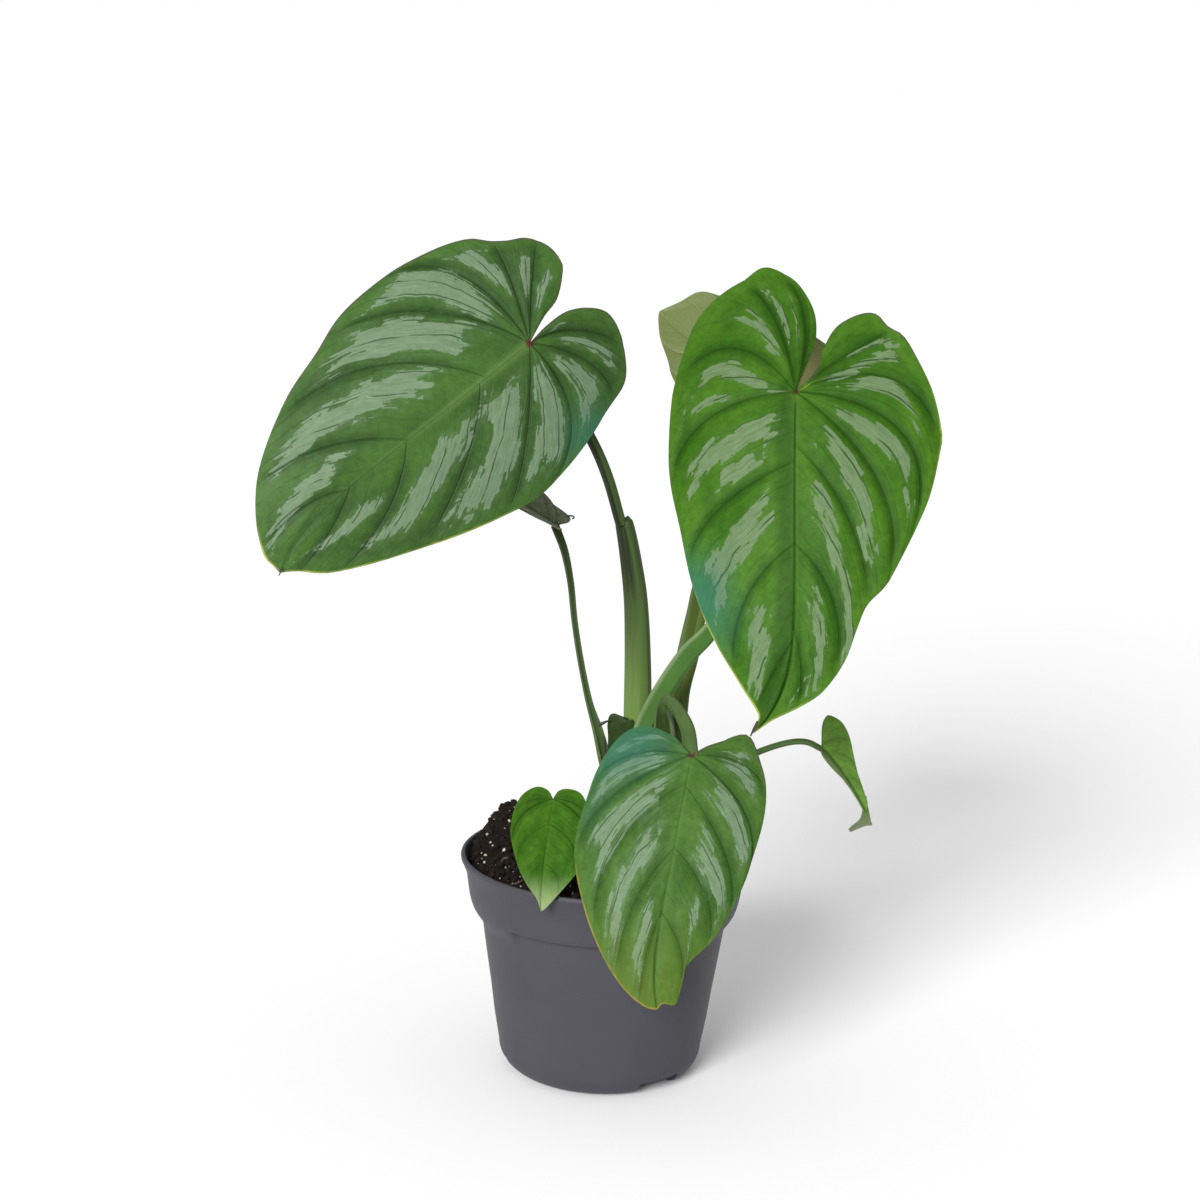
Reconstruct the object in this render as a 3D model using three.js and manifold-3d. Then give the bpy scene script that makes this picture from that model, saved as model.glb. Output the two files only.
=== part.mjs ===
// A young philodendron in a round nursery pot: pot, soil, crown, leaf stalks, leaves and a bract.
// Millimetres, +Z up. The origin is the middle of the pot's underside and -Y is the front.

import * as THREE from 'three';
import { mergeVertices } from 'three/addons/utils/BufferGeometryUtils.js';
import Module from 'manifold-3d';

const wasm = await Module();
wasm.setup();

// Sizes that drive the pot
const rimRadius = 60;
const potHeight = 92;
const lipThick = 1.6;
const wallThick = 1.4;
const floorThick = 2;
const footRise = 3;
const collarRadius = 57.6;
const collarFoot = 67;
const bodyTopRadius = 50.2;
const bodyFootRadius = 42.4;
const footRadius = 31.5;
const footRounding = 10.5;
const footEdge = 1;
const bodyMiddle = 36;
const shoulder = 4;
const collarMiddle = 85;
const lipHigh = 2.6;
const innerDraft = 0.6;
const potSides = 48;

// The ledge under the collar, which is square along one stretch and tapers away along the rest
const ledgeReach = 43;
const ledgeHeight = 71.2;
const ledgeDeep = 4.7;
const ledgeHollow = 4;

// Drain slots in the foot, with a taller mouth outside, and holes in the raised part of the floor
const slotTurns = [38, 158, 278];
const slotWide = 22;
const slotHigh = 3.4;
const slotLong = 18;
const mouthWide = 20;
const mouthHigh = 6.6;
const mouthLong = 8;
const mouthAt = 40.5;
const holeCount = 6;
const holeRadius = 3.5;
const holeCircle = 20.8;
const middleRadius = 14;
const footInner = 27.5;

// Soil, crown and the clearance between neighbours
const gap = 0.3;
const socketGap = 0.45;
const soilEdge = 87;
const soilMound = 7;
const soilBank = 15;
const bankAt = [-43, 33];
const bankSpread = 15;
const crumbHigh = 0.75;
const crumbWaves = [0.83, 0.71, 0.37, 0.59];
const crumbShifts = [1.3, 2];
const soilShoulder = 3.5;
const soilInset = 0.8;
const soilSides = 36;
const soilRings = [0, 0.14, 0.28, 0.4, 0.52, 0.64, 0.75, 0.85, 0.93, 1];
const grainCount = 34;
const grainField = 50;
const grainInner = 0.08;
const grainSmall = 1;
const grainVaries = 0.9;
const grainSunk = 0.5;
const grainFree = 1.3;
const crownAt = new THREE.Vector3(13, 3, 0);
const crownTop = 104;
const crownFoot = 69;
const crownHalfWidth = 18.5;
const crownHalfDepth = 16;
const crownSides = 20;
const crownOutline = [[0, crownFoot], [0.55, crownFoot + 3], [0.8, crownFoot + 12],
  [0.92, crownTop - 16], [0.86, crownTop - 14], [0.98, crownTop - 8], [0.9, crownTop - 6],
  [0.8, crownTop - 2.5], [0.5, crownTop], [0, crownTop]];

// Leaf blades
const bladeThick = 0.8;
const keelDepth = 1.9;
const rowsPerBay = 2;
const columns = [0, 0.05, 0.2, 0.38, 0.56, 0.74, 0.9, 1];
const fanShare = 0.4;
const veinArch = 0.36;
const lobeReach = 0.14;
const pleatFull = 30;
const keelTaper = 0.7;
const cutterSpread = 0.05;
const bayCrowding = 0.75;
const rootCrowding = 1.3;
const swellRound = 0.8;
const swellRise = 5;
const swellFade = 0.45;
const seatAt = 0.5;
const seatClear = 0.4;

// Leaf stalks: the points round the back of a section, then the four of the groove
const backPoints = 7;
const grooveHalf = 0.5;
const wingHalf = 0.86;
const grooveFloor = 0.3;
const sectionSides = backPoints + 4;
const sectionCap = [[0, 1, 9], [0, 9, 10], [1, 2, 9], [2, 3, 9], [3, 8, 9], [3, 4, 8], [4, 5, 8],
  [5, 6, 8], [6, 7, 8]];

// Colour and roughness
const looks = {
  pot: [0x4d4b55, 0.6],
  soil: [0x241a15, 0.95],
  crown: [0x5f6a3a, 0.7],
  stalk: [0x5d7f3c, 0.5],
  bract: [0x35491f, 0.55],
  leaf: [0x47792f, 0.45],
  young: [0x7e9150, 0.45],
};

// A mesh from corner points and triangles, with shared corners merged and empty triangles dropped
function closedGeometry(points, triangles) {
  const loose = new THREE.BufferGeometry();
  const places = points.flatMap((p) => [p.x, p.y, p.z]);
  loose.setAttribute('position', new THREE.Float32BufferAttribute(places, 3));
  loose.setIndex(triangles.flat());
  return dropEmpty(mergeVertices(loose, 1e-3));
}

function dropEmpty(geometry) {
  const index = Array.from(geometry.index.array);
  const kept = [];
  for (let i = 0; i < index.length; i += 3) {
    const [a, b, c] = index.slice(i, i + 3);
    if (a !== b && b !== c && c !== a) kept.push(a, b, c);
  }
  geometry.setIndex(kept);
  return geometry;
}

function toSolid(geometry) {
  const plain = geometry.clone();
  plain.deleteAttribute('normal');
  plain.deleteAttribute('uv');
  const merged = dropEmpty(mergeVertices(plain, 1e-3));
  return new wasm.Manifold(new wasm.Mesh({
    numProp: 3,
    vertProperties: new Float32Array(merged.attributes.position.array),
    triVerts: new Uint32Array(merged.index.array),
  }));
}

function fromSolid(solid) {
  const mesh = solid.getMesh();
  const geometry = new THREE.BufferGeometry();
  geometry.setAttribute('position', new THREE.BufferAttribute(new Float32Array(mesh.vertProperties), 3));
  geometry.setIndex(Array.from(mesh.triVerts));
  return geometry;
}

function cut(geometry, cutters) {
  return fromSolid(cutters.reduce((solid, cutter) => solid.subtract(toSolid(cutter)), toSolid(geometry)));
}

// Random numbers from a fixed seed
function seeded(seed) {
  let state = seed;
  return () => {
    state = (state * 16807) % 2147483647;
    return state / 2147483647;
  };
}

// The pot's profile, from the middle of the underside up the outside and down the inside
function potOutline(withLedge) {
  const inside = rimRadius - lipThick;
  const body = bodyTopRadius;
  const collar = withLedge
    ? [[body + innerDraft, ledgeHeight - ledgeHollow], [body + 2 * innerDraft, ledgeHeight - innerDraft],
      [body + 1 + ledgeDeep, ledgeHeight]]
    : [[body + 1, collarFoot - shoulder / 2], [collarRadius - shoulder, collarFoot + 1.5],
      [collarRadius - lipThick, collarFoot + 2 * shoulder]];
  return [
    [0, 0], [middleRadius - footEdge, 0], [middleRadius, footRise],
    [footInner, footRise], [footInner + footEdge, 0],
    ...footCurve(),
    [(body + bodyFootRadius) / 2, bodyMiddle], [body, collarFoot - shoulder - 1],
    ...collar,
    [collarRadius, collarMiddle], [rimRadius - innerDraft, potHeight - lipHigh],
    [rimRadius, potHeight - lipThick], [rimRadius - innerDraft, potHeight], [inside, potHeight],
    [inside - innerDraft, potHeight - lipHigh], [collarRadius - wallThick, collarMiddle],
    [body - wallThick, collarFoot - shoulder], [bodyFootRadius - wallThick, footRounding + 1],
    [footRadius + floorThick, footRise + floorThick], [0, footRise + floorThick],
  ];
}

// The rounding between the foot and the wall
function footCurve() {
  const reach = bodyFootRadius - footRadius;
  const curve = new THREE.EllipseCurve(footRadius, footRounding, reach, footRounding, -Math.PI / 2, 0);
  return curve.getPoints(4).map((point) => [point.x, point.y]);
}

// Pot: one turned wall, with the ledge drawn into its collar and the drain openings cut out
function potGeometry() {
  const plain = potOutline(false);
  const stepped = potOutline(true);
  const wall = new THREE.LatheGeometry(plain.map(([r, z]) => new THREE.Vector2(r, z)), potSides);
  const corners = wall.attributes.position;
  for (let i = 0; i < corners.count; i += 1) {
    const around = Math.floor(i / plain.length) * (360 / potSides);
    const fromFront = around > 180 ? around - 360 : around;
    if (Math.abs(fromFront) > ledgeReach) continue;
    const [radius, height] = stepped[i % plain.length];
    const angle = THREE.MathUtils.degToRad(around);
    corners.setXYZ(i, radius * Math.sin(angle), height, radius * Math.cos(angle));
  }
  wall.rotateX(Math.PI / 2);
  return cut(wall, [...drainSlots(), ...drainHoles()]);
}

function drainSlots() {
  const sizes = [[slotWide, slotLong, slotHigh, footRadius], [mouthWide, mouthLong, mouthHigh, mouthAt]];
  return slotTurns.flatMap((turn) => sizes.map(([wide, long, high, out]) => {
    const slot = new THREE.BoxGeometry(wide, long, 2 * high);
    slot.translate(0, -out, 0);
    slot.rotateZ(THREE.MathUtils.degToRad(turn));
    return slot;
  }));
}

function drainHoles() {
  const holes = [];
  for (let k = 0; k < holeCount; k += 1) {
    const hole = new THREE.CylinderGeometry(holeRadius, holeRadius, 4 * footRise, 10);
    hole.rotateX(Math.PI / 2);
    const angle = (k + 0.5) * (2 * Math.PI / holeCount);
    hole.translate(holeCircle * Math.cos(angle), holeCircle * Math.sin(angle), footRise);
    holes.push(hole);
  }
  return holes;
}

// The height of the soil: a mound, the heap at the back and crumbs
function soilTop(x, y) {
  const reach = Math.hypot(x, y) / rimRadius;
  const mound = soilMound * (1 - reach * reach);
  const fromBank = Math.hypot(x - bankAt[0], y - bankAt[1]) / bankSpread;
  const bank = soilBank * Math.exp(-0.5 * fromBank ** 2) * (1 - reach ** 16);
  const [first, second, third, fourth] = crumbWaves;
  const crumbs = Math.sin(x * first + crumbShifts[0]) * Math.cos(y * second)
    + Math.sin(x * third - y * fourth + crumbShifts[1]);
  return soilEdge + mound + bank + crumbHigh * crumbs;
}

// Soil: fills the pot up to its crumbled top
function soilGeometry() {
  const clear = 2 * gap;
  const topRadius = rimRadius - lipThick - innerDraft - clear;
  const rimFoot = collarRadius - wallThick - clear - soilInset;
  const wallRings = [[rimFoot, soilEdge - soilShoulder],
    [bodyTopRadius - wallThick - clear, collarFoot - shoulder],
    [bodyFootRadius - wallThick - clear, footRounding + 1],
    [footRadius + floorThick - clear, footRise + floorThick + gap], [0, footRise + floorThick + gap]];
  const points = [];
  const addRing = (radius, height) => {
    for (let k = 0; k < soilSides; k += 1) {
      const angle = (2 * Math.PI * k) / soilSides;
      const [x, y] = [radius * Math.cos(angle), radius * Math.sin(angle)];
      points.push(new THREE.Vector3(x, y, height ?? soilTop(x, y)));
    }
  };
  for (const share of soilRings.slice(0, -1)) addRing(share * topRadius);
  for (const [radius, height] of wallRings) addRing(radius, height);
  const triangles = [];
  for (let first = 0; first < points.length - soilSides; first += soilSides) {
    for (let k = 0; k < soilSides; k += 1) {
      const next = (k + 1) % soilSides;
      const [a, b] = [first + k, first + next];
      const [c, d] = [b + soilSides, a + soilSides];
      triangles.push([a, c, b], [a, d, c]);
    }
  }
  return closedGeometry(points, triangles);
}

// Grains of perlite, grown out of the soil away from the crown
function withPerlite(geometry) {
  const random = seeded(41);
  let solid = toSolid(geometry);
  for (let k = 0; k < grainCount; k += 1) {
    const angle = 2 * Math.PI * random();
    const radius = grainField * Math.sqrt(grainInner + (1 - grainInner) * random());
    const [x, y] = [radius * Math.cos(angle), radius * Math.sin(angle)];
    const grain = new THREE.OctahedronGeometry(grainSmall + grainVaries * random(), 0);
    grain.rotateX(Math.PI * random());
    grain.rotateZ(Math.PI * random());
    const fromCrown = Math.hypot((x - crownAt.x) / crownHalfWidth, (y - crownAt.y) / crownHalfDepth);
    if (fromCrown < grainFree) continue;
    grain.translate(x, y, soilTop(x, y) - grainSunk);
    solid = solid.add(toSolid(grain));
  }
  return fromSolid(solid);
}

// Crown: the short stem that the stalks rise from, with the rings of fallen leaves
function crownGeometry(extra) {
  const stem = new THREE.LatheGeometry(crownOutline.map(([r, z]) => new THREE.Vector2(r, z)), crownSides);
  stem.rotateX(Math.PI / 2);
  stem.scale(crownHalfWidth + extra, crownHalfDepth + extra, 1);
  stem.translate(crownAt.x, crownAt.y, 0);
  return stem;
}

// One leaf blade. Flat sizes are measured across and along the blade from where the stalk joins it.
class Leaf {
  constructor(form) {
    Object.assign(this, form);
    this.start = new THREE.Vector3(...form.sinus);
    const chord = new THREE.Vector3(...form.tip).sub(this.start);
    const reach = chord.length();
    chord.normalize();
    const face = new THREE.Vector3(...form.faces);
    face.addScaledVector(chord, -face.dot(chord)).normalize();
    this.arc = THREE.MathUtils.degToRad(form.bend);
    const half = this.arc / 2;
    this.length = (reach * half) / Math.sin(half);
    this.along = chord.clone().multiplyScalar(Math.cos(half)).addScaledVector(face, Math.sin(half));
    this.up = face.clone().multiplyScalar(Math.cos(half)).addScaledVector(chord, -Math.sin(half));
    this.across = new THREE.Vector3().crossVectors(this.along, this.up);
    this.margins = [form.right, form.left].map((list) => new THREE.SplineCurve(
      [[0, 0], ...list, [0, this.length]].map(([x, y]) => new THREE.Vector2(x, y))));
  }

  // How far the midrib lies to one side of the straight line from sinus to tip
  midrib(y) {
    const share = y / this.length;
    return y > 0 ? this.hook * (share - share ** 8) : this.notch * y;
  }

  // A point of the curved blade, raised by some height above its middle surface
  place(x, y, height) {
    const turn = (this.arc * y) / this.length;
    const radius = this.length / this.arc;
    const normal = this.up.clone().multiplyScalar(Math.cos(turn));
    normal.addScaledVector(this.along, Math.sin(turn));
    const middle = this.midrib(y);
    const fold = THREE.MathUtils.degToRad(this.fold);
    const curl = THREE.MathUtils.degToRad(this.curl) / this.width;
    const slope = fold + curl * Math.abs(x - middle);
    const out = (Math.sin(slope) - Math.sin(fold)) / curl;
    const rise = (Math.cos(fold) - Math.cos(slope)) / curl;
    return this.start.clone()
      .addScaledVector(this.along, radius * Math.sin(turn))
      .addScaledVector(this.up, -radius * (1 - Math.cos(turn)))
      .addScaledVector(this.across, middle + (x >= middle ? out : -out))
      .addScaledVector(normal, rise + height);
  }

  // The flat place of a grid point: bay counts veins from the lobe to the tip, share is the place
  // between midrib and margin
  flat(side, bay, share) {
    const margin = this.margins[side];
    const sign = side === 0 ? 1 : -1;
    const last = margin.points.length - 1;
    const lobe = this.lobe[side] / last;
    const end = margin.getPoint(lobe + (1 - lobe) * bay ** bayCrowding);
    const rootShare = Math.max(0, (bay - fanShare) / (1 - fanShare)) ** rootCrowding;
    const root = new THREE.Vector2(0, this.length * rootShare);
    root.x = sign * this.midrib(root.y);
    const vein = end.clone().sub(root);
    const bow = new THREE.Vector2(vein.y, -vein.x).multiplyScalar(veinArch);
    const bend = root.clone().add(end).multiplyScalar(0.5).add(bow);
    const point = root.clone().multiplyScalar((1 - share) ** 2)
      .addScaledVector(bend, 2 * share * (1 - share))
      .addScaledVector(end, share * share);
    const edgeShare = Math.max(0, 1 - bay / lobeReach) ** 2;
    if (edgeShare > 0) {
      const inner = margin.getPoint(lobe * share);
      const first = this.firstVein(side, share);
      point.addScaledVector(inner.sub(first), edgeShare);
    }
    return { x: sign * point.x, y: point.y, size: vein.length() };
  }

  firstVein(side, share) {
    const margin = this.margins[side];
    const end = margin.getPoint(this.lobe[side] / (margin.points.length - 1));
    const bow = new THREE.Vector2(end.y, -end.x).multiplyScalar(veinArch);
    const bend = end.clone().multiplyScalar(0.5).add(bow);
    return bend.multiplyScalar(2 * share * (1 - share)).addScaledVector(end, share * share);
  }

  // The pleats: the blade sinks at each vein and swells between two of them
  pleat(bay, share, size) {
    const swell = Math.abs(Math.sin(Math.PI * this.bays * bay)) ** swellRound;
    const across = Math.min(1, swellRise * share) * (1 - swellFade * share ** 3);
    return this.relief * swell * across * Math.min(1, size / pleatFull);
  }

  geometry(extra) {
    const points = [];
    const triangles = [];
    const rows = this.bays * rowsPerBay + 1;
    for (const face of [1, -1]) {
      for (const side of [0, 1]) {
        const first = points.length;
        for (let row = 0; row < rows; row += 1) {
          for (const share of columns) {
            const bay = row / (rows - 1);
            const { x, y, size } = this.flat(side, bay, share);
            const taper = Math.max(0, 1 - Math.max(0, y) / this.length);
            const keel = share === 0 ? keelDepth * this.sturdy * taper ** keelTaper : 0;
            const surface = this.pleat(bay, share, size);
            const height = face > 0 ? surface + extra : surface - bladeThick - keel - extra;
            const spread = 1 + cutterSpread * extra * share;
            points.push(this.place(x * spread, y * spread, height));
          }
        }
        const wide = columns.length;
        for (let row = 0; row < rows - 1; row += 1) {
          for (let k = 0; k < wide - 1; k += 1) {
            const a = first + row * wide + k;
            const quad = [a, a + 1, a + wide + 1, a + wide];
            const upward = (face > 0) === (side === 0);
            triangles.push(...facing([quad[0], quad[1], quad[2]], [quad[0], quad[2], quad[3]], upward));
          }
        }
      }
    }
    const half = 2 * rows * columns.length;
    const edge = (side, row) => side * rows * columns.length + row * columns.length + columns.length - 1;
    const innerRow = (side, k) => side * rows * columns.length + k;
    for (const side of [0, 1]) {
      for (let row = 0; row < rows - 1; row += 1) {
        const [a, b] = [edge(side, row), edge(side, row + 1)];
        triangles.push(...facing([a, a + half, b + half], [a, b + half, b], side === 0));
      }
      for (let k = 0; k < columns.length - 1; k += 1) {
        const [a, b] = [innerRow(side, k), innerRow(side, k + 1)];
        triangles.push(...facing([a, a + half, b + half], [a, b + half, b], side === 0));
      }
    }
    return closedGeometry(points, triangles);
  }

  // Where the stalk ends, just clear of the underside
  seat() {
    return this.place(0, seatAt, -bladeThick - keelDepth * this.sturdy - seatClear);
  }
}

function facing(first, second, keep) {
  const flip = (t) => (keep ? t : [t[0], t[2], t[1]]);
  return [flip(first), flip(second)];
}

// A leaf stalk: an oval section with a groove on one side and the wings of the sheath along its lower part
function stalkSection(wide, deep, wing, floor) {
  const ring = [];
  for (let j = 0; j < backPoints; j += 1) {
    const angle = (Math.PI * j) / (backPoints - 1);
    ring.push([wide * Math.cos(angle), -deep * Math.sin(angle)]);
  }
  ring.push([-wingHalf * wide, wing], [-grooveHalf * wide, floor], [grooveHalf * wide, floor],
    [wingHalf * wide, wing]);
  return ring;
}

function stalkGeometry(form, seat, extra) {
  const stops = form.path.map((p) => new THREE.Vector3(...p));
  if (seat) stops.push(seat);
  const curve = new THREE.CatmullRomCurve3(stops, false, 'catmullrom', 0.5);
  const last = stops.length - 1;
  const steps = 2 * last;
  const points = [];
  for (let i = 0; i <= steps; i += 1) {
    const spot = Math.min(last - 1e-6, (i / steps) * last);
    const k = Math.floor(spot);
    const mix = (list) => THREE.MathUtils.lerp(list[k], list[k + 1], spot - k);
    const ahead = curve.getTangent(i / steps);
    const centre = curve.getPoint(i / steps).addScaledVector(ahead, i === 0 ? -extra : 0);
    const groove = new THREE.Vector3(...form.groove);
    groove.addScaledVector(ahead, -groove.dot(ahead)).normalize();
    const cross = new THREE.Vector3().crossVectors(ahead, groove);
    const wide = mix(form.wide) / 2 + extra;
    const deep = mix(form.deep) / 2 + extra;
    const wing = mix(form.wing) + extra;
    const ring = stalkSection(wide, deep, wing, extra > 0 ? wing : grooveFloor * deep);
    for (const [u, v] of ring) {
      points.push(centre.clone().addScaledVector(cross, u).addScaledVector(groove, v));
    }
  }
  const triangles = [];
  for (let i = 0; i < steps; i += 1) {
    for (let j = 0; j < sectionSides; j += 1) {
      const next = (j + 1) % sectionSides;
      const [a, b] = [i * sectionSides + j, i * sectionSides + next];
      const [c, d] = [b + sectionSides, a + sectionSides];
      triangles.push([a, b, c], [a, c, d]);
    }
  }
  const top = steps * sectionSides;
  for (const [a, b, c] of sectionCap) {
    triangles.push([a, c, b], [top + a, top + b, top + c]);
  }
  return closedGeometry(points, triangles);
}

const leaves = [
  {
    name: 'leaf_left', look: looks.leaf, bays: 8,
    sinus: [-36, -22, 305], tip: [-127, -64, 220], faces: [0.3, -1, 0.22],
    bend: 22, fold: -6, curl: -14, width: 55, hook: 10, notch: -0.15,
    relief: 1.5, sturdy: 1, lobe: [4, 4],
    right: [[4, -12], [6, -24], [12, -32], [21, -34], [31, -31], [44, -15], [54, 8], [57, 37],
      [52, 65], [42, 96], [29, 118], [9, 131]],
    left: [[0, -10], [1, -21], [6, -29], [13, -35], [22, -35], [31, -32], [39, -24], [43, -6],
      [48, 22], [44, 54], [33, 81], [22, 106], [11, 121]],
  },
  {
    name: 'leaf_right', look: looks.leaf, bays: 8,
    sinus: [66, -42, 292], tip: [53, -86, 169], faces: [-0.25, -1, 0.35],
    bend: 20, fold: -6, curl: -14, width: 55, hook: -17, notch: 0.33,
    relief: 1.6, sturdy: 1, lobe: [5, 6],
    right: [[-4, -16], [-4, -25], [-1, -37], [7, -48], [16, -55], [24, -58], [31, -54], [43, -43],
      [49, -22], [51, 4], [46, 36], [33, 74], [16, 102], [5, 114], [-2, 125]],
    left: [[5, -3], [8, -11], [10, -20], [13, -28], [20, -35], [26, -36], [31, -32], [37, -29],
      [44, -20], [52, -8], [58, 10], [56, 33], [44, 70], [37, 80], [34, 89], [24, 113], [16, 120], [7, 126]],
  },
  {
    name: 'leaf_back', look: looks.young, bays: 8,
    sinus: [90, 26, 261], tip: [15, 40, 313], faces: [-0.1, 1, 0.25],
    bend: 16, fold: 8, curl: -10, width: 30, hook: 3, notch: 0,
    relief: 0.7, sturdy: 0.8, lobe: [3, 3],
    right: [[4, -8], [11, -15], [20, -16], [28, -8], [31, 8], [31, 30], [27, 52], [21, 70], [15, 78],
      [9, 86], [3, 91]],
    left: [[4, -8], [11, -15], [20, -16], [27, -8], [30, 10], [30, 34], [27, 56], [20, 76], [16, 84],
      [8, 88], [3, 91]],
  },
  {
    name: 'leaf_front', look: looks.leaf, bays: 8,
    sinus: [32, -44, 148], tip: [21, -90, 60], faces: [-0.05, -1, 0.45],
    bend: 22, fold: -6, curl: -14, width: 38, hook: 5, notch: 0,
    relief: 1.1, sturdy: 0.8, lobe: [3, 4],
    right: [[4, -4], [9, -8], [18, -11], [25, -8], [32, -2], [37, 9], [41, 35], [40, 48], [34, 64],
      [20, 87], [12, 95], [5, 100]],
    left: [[4, -3], [9, -6], [15, -11], [22, -13], [28, -3], [31, 7], [32, 21], [29, 39], [22, 63],
      [9, 82], [7, 90], [6, 97], [2, 98]],
  },
  {
    name: 'leaf_small', look: looks.leaf, bays: 5,
    sinus: [-22, -30, 124], tip: [-25, -62, 88], faces: [-0.1, -1, 0.5],
    bend: 20, fold: 6, curl: -10, width: 15, hook: 1, notch: 0,
    relief: 0.5, sturdy: 0.4, lobe: [2, 2],
    right: [[3, -3], [7, -5], [11, -1], [14, 4], [15, 11], [14, 19], [10, 31], [6, 38], [1, 43]],
    left: [[2, -4], [6, -5], [11, -3], [14, 3], [16, 14], [15, 25], [13, 32], [6, 42], [2, 47]],
  },
  {
    name: 'leaf_hanging', look: looks.leaf, bays: 4,
    sinus: [86.5, -9.5, 143.3], tip: [105.3, -12, 116.8], faces: [0.63, -0.65, 0.43],
    bend: 26, fold: 37, curl: -10, width: 13, hook: 0, notch: 0,
    relief: 0.3, sturdy: 0.3, lobe: [2, 3],
    right: [[3, 0.4], [7, 0.8], [10, 2.4], [11, 5.5], [9.8, 10], [6.8, 15], [4.4, 20.5], [3, 26], [2.2, 30]],
    left: [[2.2, -2.2], [5.6, -5.4], [8.9, -7.2], [11.3, -7], [13, -2], [11.4, 4], [7.6, 11],
      [4.7, 18], [3, 26], [2.4, 30]],
  },
  {
    name: 'leaf_folded', look: looks.leaf, bays: 4,
    sinus: [-24.5, 25, 225.2], tip: [-61, 34, 242.6], faces: [0.38, -0.59, 0.71],
    bend: 8, fold: 37, curl: -10, width: 13, hook: 0, notch: 0,
    relief: 0.3, sturdy: 0.4, lobe: [3, 2],
    right: [[2, -2.4], [3.8, -4], [5.4, -3.6], [6.2, 0], [6.6, 5.5], [7.4, 11], [8.6, 19], [8, 28],
      [4.6, 37]],
    left: [[2.2, -2.6], [4.4, -3.2], [6.2, -1], [7.2, 5], [8.2, 13], [8.8, 20], [7.6, 29], [4, 37]],
  },
];

const stalks = {
  leaf_left: {
    name: 'stalk_left', groove: [0.5, 0.8, 0.1],
    path: [[8, 13, 97], [9.6, 13, 117], [10.6, 13, 137], [10.8, 13, 155], [10, 12, 176], [8.6, 11, 197],
      [5.8, 9, 215], [2.8, 6.6, 229.2], [1.5, 5.8, 231], [-4, 2, 249], [-11, -3, 265], [-23, -9, 285],
      [-32, -14, 298]],
    wide: [9, 10, 11, 11.8, 11, 10.2, 8.8, 7.2, 4.9, 4.9, 4.8, 4.5, 4.1, 3.9],
    deep: [6, 6.5, 6.5, 6.5, 6, 5.5, 5, 4.4, 4, 4, 3.7, 3.6, 3.5, 3.4],
    wing: [2, 3, 3.5, 3.5, 3.5, 3, 3, 3, 1, 1, 1, 1, 1, 1],
  },
  leaf_right: {
    name: 'stalk_right', groove: [-0.5, -0.8, 0.45],
    path: [[8.5, -5, 97], [9, -5, 117], [10, -6, 134], [14, -7, 149], [21, -10, 165], [30, -14, 181],
      [38, -17, 191], [50, -21, 210], [61, -24, 235], [66, -28, 264], [68, -33, 284]],
    wide: [7, 7.2, 8, 8.8, 9, 8.6, 7.6, 6.2, 4.8, 4.2, 4, 4],
    deep: [6, 6, 6, 6.4, 6.4, 6, 5.4, 4.6, 4, 3.8, 3.6, 3.6],
    wing: [1.5, 2, 2, 2, 2, 2, 1.6, 1.2, 1, 1, 1, 1],
  },
  leaf_back: {
    name: 'stalk_back', groove: [-0.8, -0.4, 0.3],
    path: [[22, 10, 97], [25, 11, 122], [28, 12, 143], [29, 15, 159], [32, 18, 173], [35, 22, 190],
      [38, 25, 206], [49, 27, 231], [67, 26, 252], [82, 23, 260]],
    wide: [8, 9, 10, 11.6, 12, 11.4, 9.6, 6.4, 4.5, 4, 3.6],
    deep: [5, 6, 6, 6, 6, 5, 4.5, 4, 3.6, 3.5, 3.4],
    wing: [1.5, 2, 3, 3, 3, 2.5, 2, 1, 1, 1, 1],
  },
  leaf_front: {
    name: 'stalk_front', groove: [-0.35, -0.8, 0.45],
    path: [[21, -6, 97], [22, -6.5, 119], [22.8, -8.5, 135], [22.4, -11.5, 147], [21.6, -15.8, 158],
      [22.8, -20.8, 163.8], [27, -28.6, 161.2], [30.6, -35.5, 155.5]],
    wide: [5, 6, 8.2, 9, 6.6, 4.6, 5.2, 6, 6.4],
    deep: [5, 5, 4.4, 4.2, 4.2, 4.4, 4, 3.6, 3],
    wing: [1.2, 1.4, 2, 2.2, 1.6, 1.2, 1.2, 1.2, 1],
  },
  leaf_small: {
    name: 'stalk_small', groove: [0.2, -0.3, 1],
    path: [[1, -5, 97], [1.5, -9, 107], [-2, -14, 113], [-9, -20, 117], [-16, -25, 120]],
    wide: [3.4, 3.4, 3.2, 3, 2.8, 2.6],
    deep: [3.4, 3.4, 3.2, 3, 2.8, 2.6],
    wing: [1, 1, 0.8, 0.8, 0.8, 0.8],
  },
  leaf_hanging: {
    name: 'stalk_hanging', groove: [-0.2, -0.2, 1],
    path: [[27, 2, 97], [30, 2, 107], [36, 1, 117], [46, -2, 130], [60, -6, 139], [72, -7.6, 144],
      [80, -8.8, 145]],
    wide: [3.6, 3.4, 3.2, 3, 2.8, 2.6, 2.6, 2.6],
    deep: [3.6, 3.4, 3.2, 3, 2.8, 2.6, 2.6, 2.4],
    wing: [1, 1, 0.8, 0.8, 0.8, 0.8, 0.8, 0.8],
  },
  leaf_folded: {
    name: 'stalk_folded', groove: [0.6, -0.8, 0],
    path: [[0, 5, 97], [1, 7, 119], [-2, 9, 131], [-5, 10, 142], [-9, 12, 154], [-13, 14, 171],
      [-16, 17, 187], [-18, 19, 202], [-21, 21, 215]],
    wide: [6.2, 6.3, 5.8, 4.6, 3, 2.7, 2.7, 2.9, 3.4, 3.8],
    deep: [4.4, 4.4, 4, 3.4, 3, 2.8, 2.6, 2.7, 3, 3],
    wing: [1.4, 1.4, 1.4, 1.1, 0.8, 0.7, 0.7, 0.7, 0.8, 0.9],
  },
};

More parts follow.
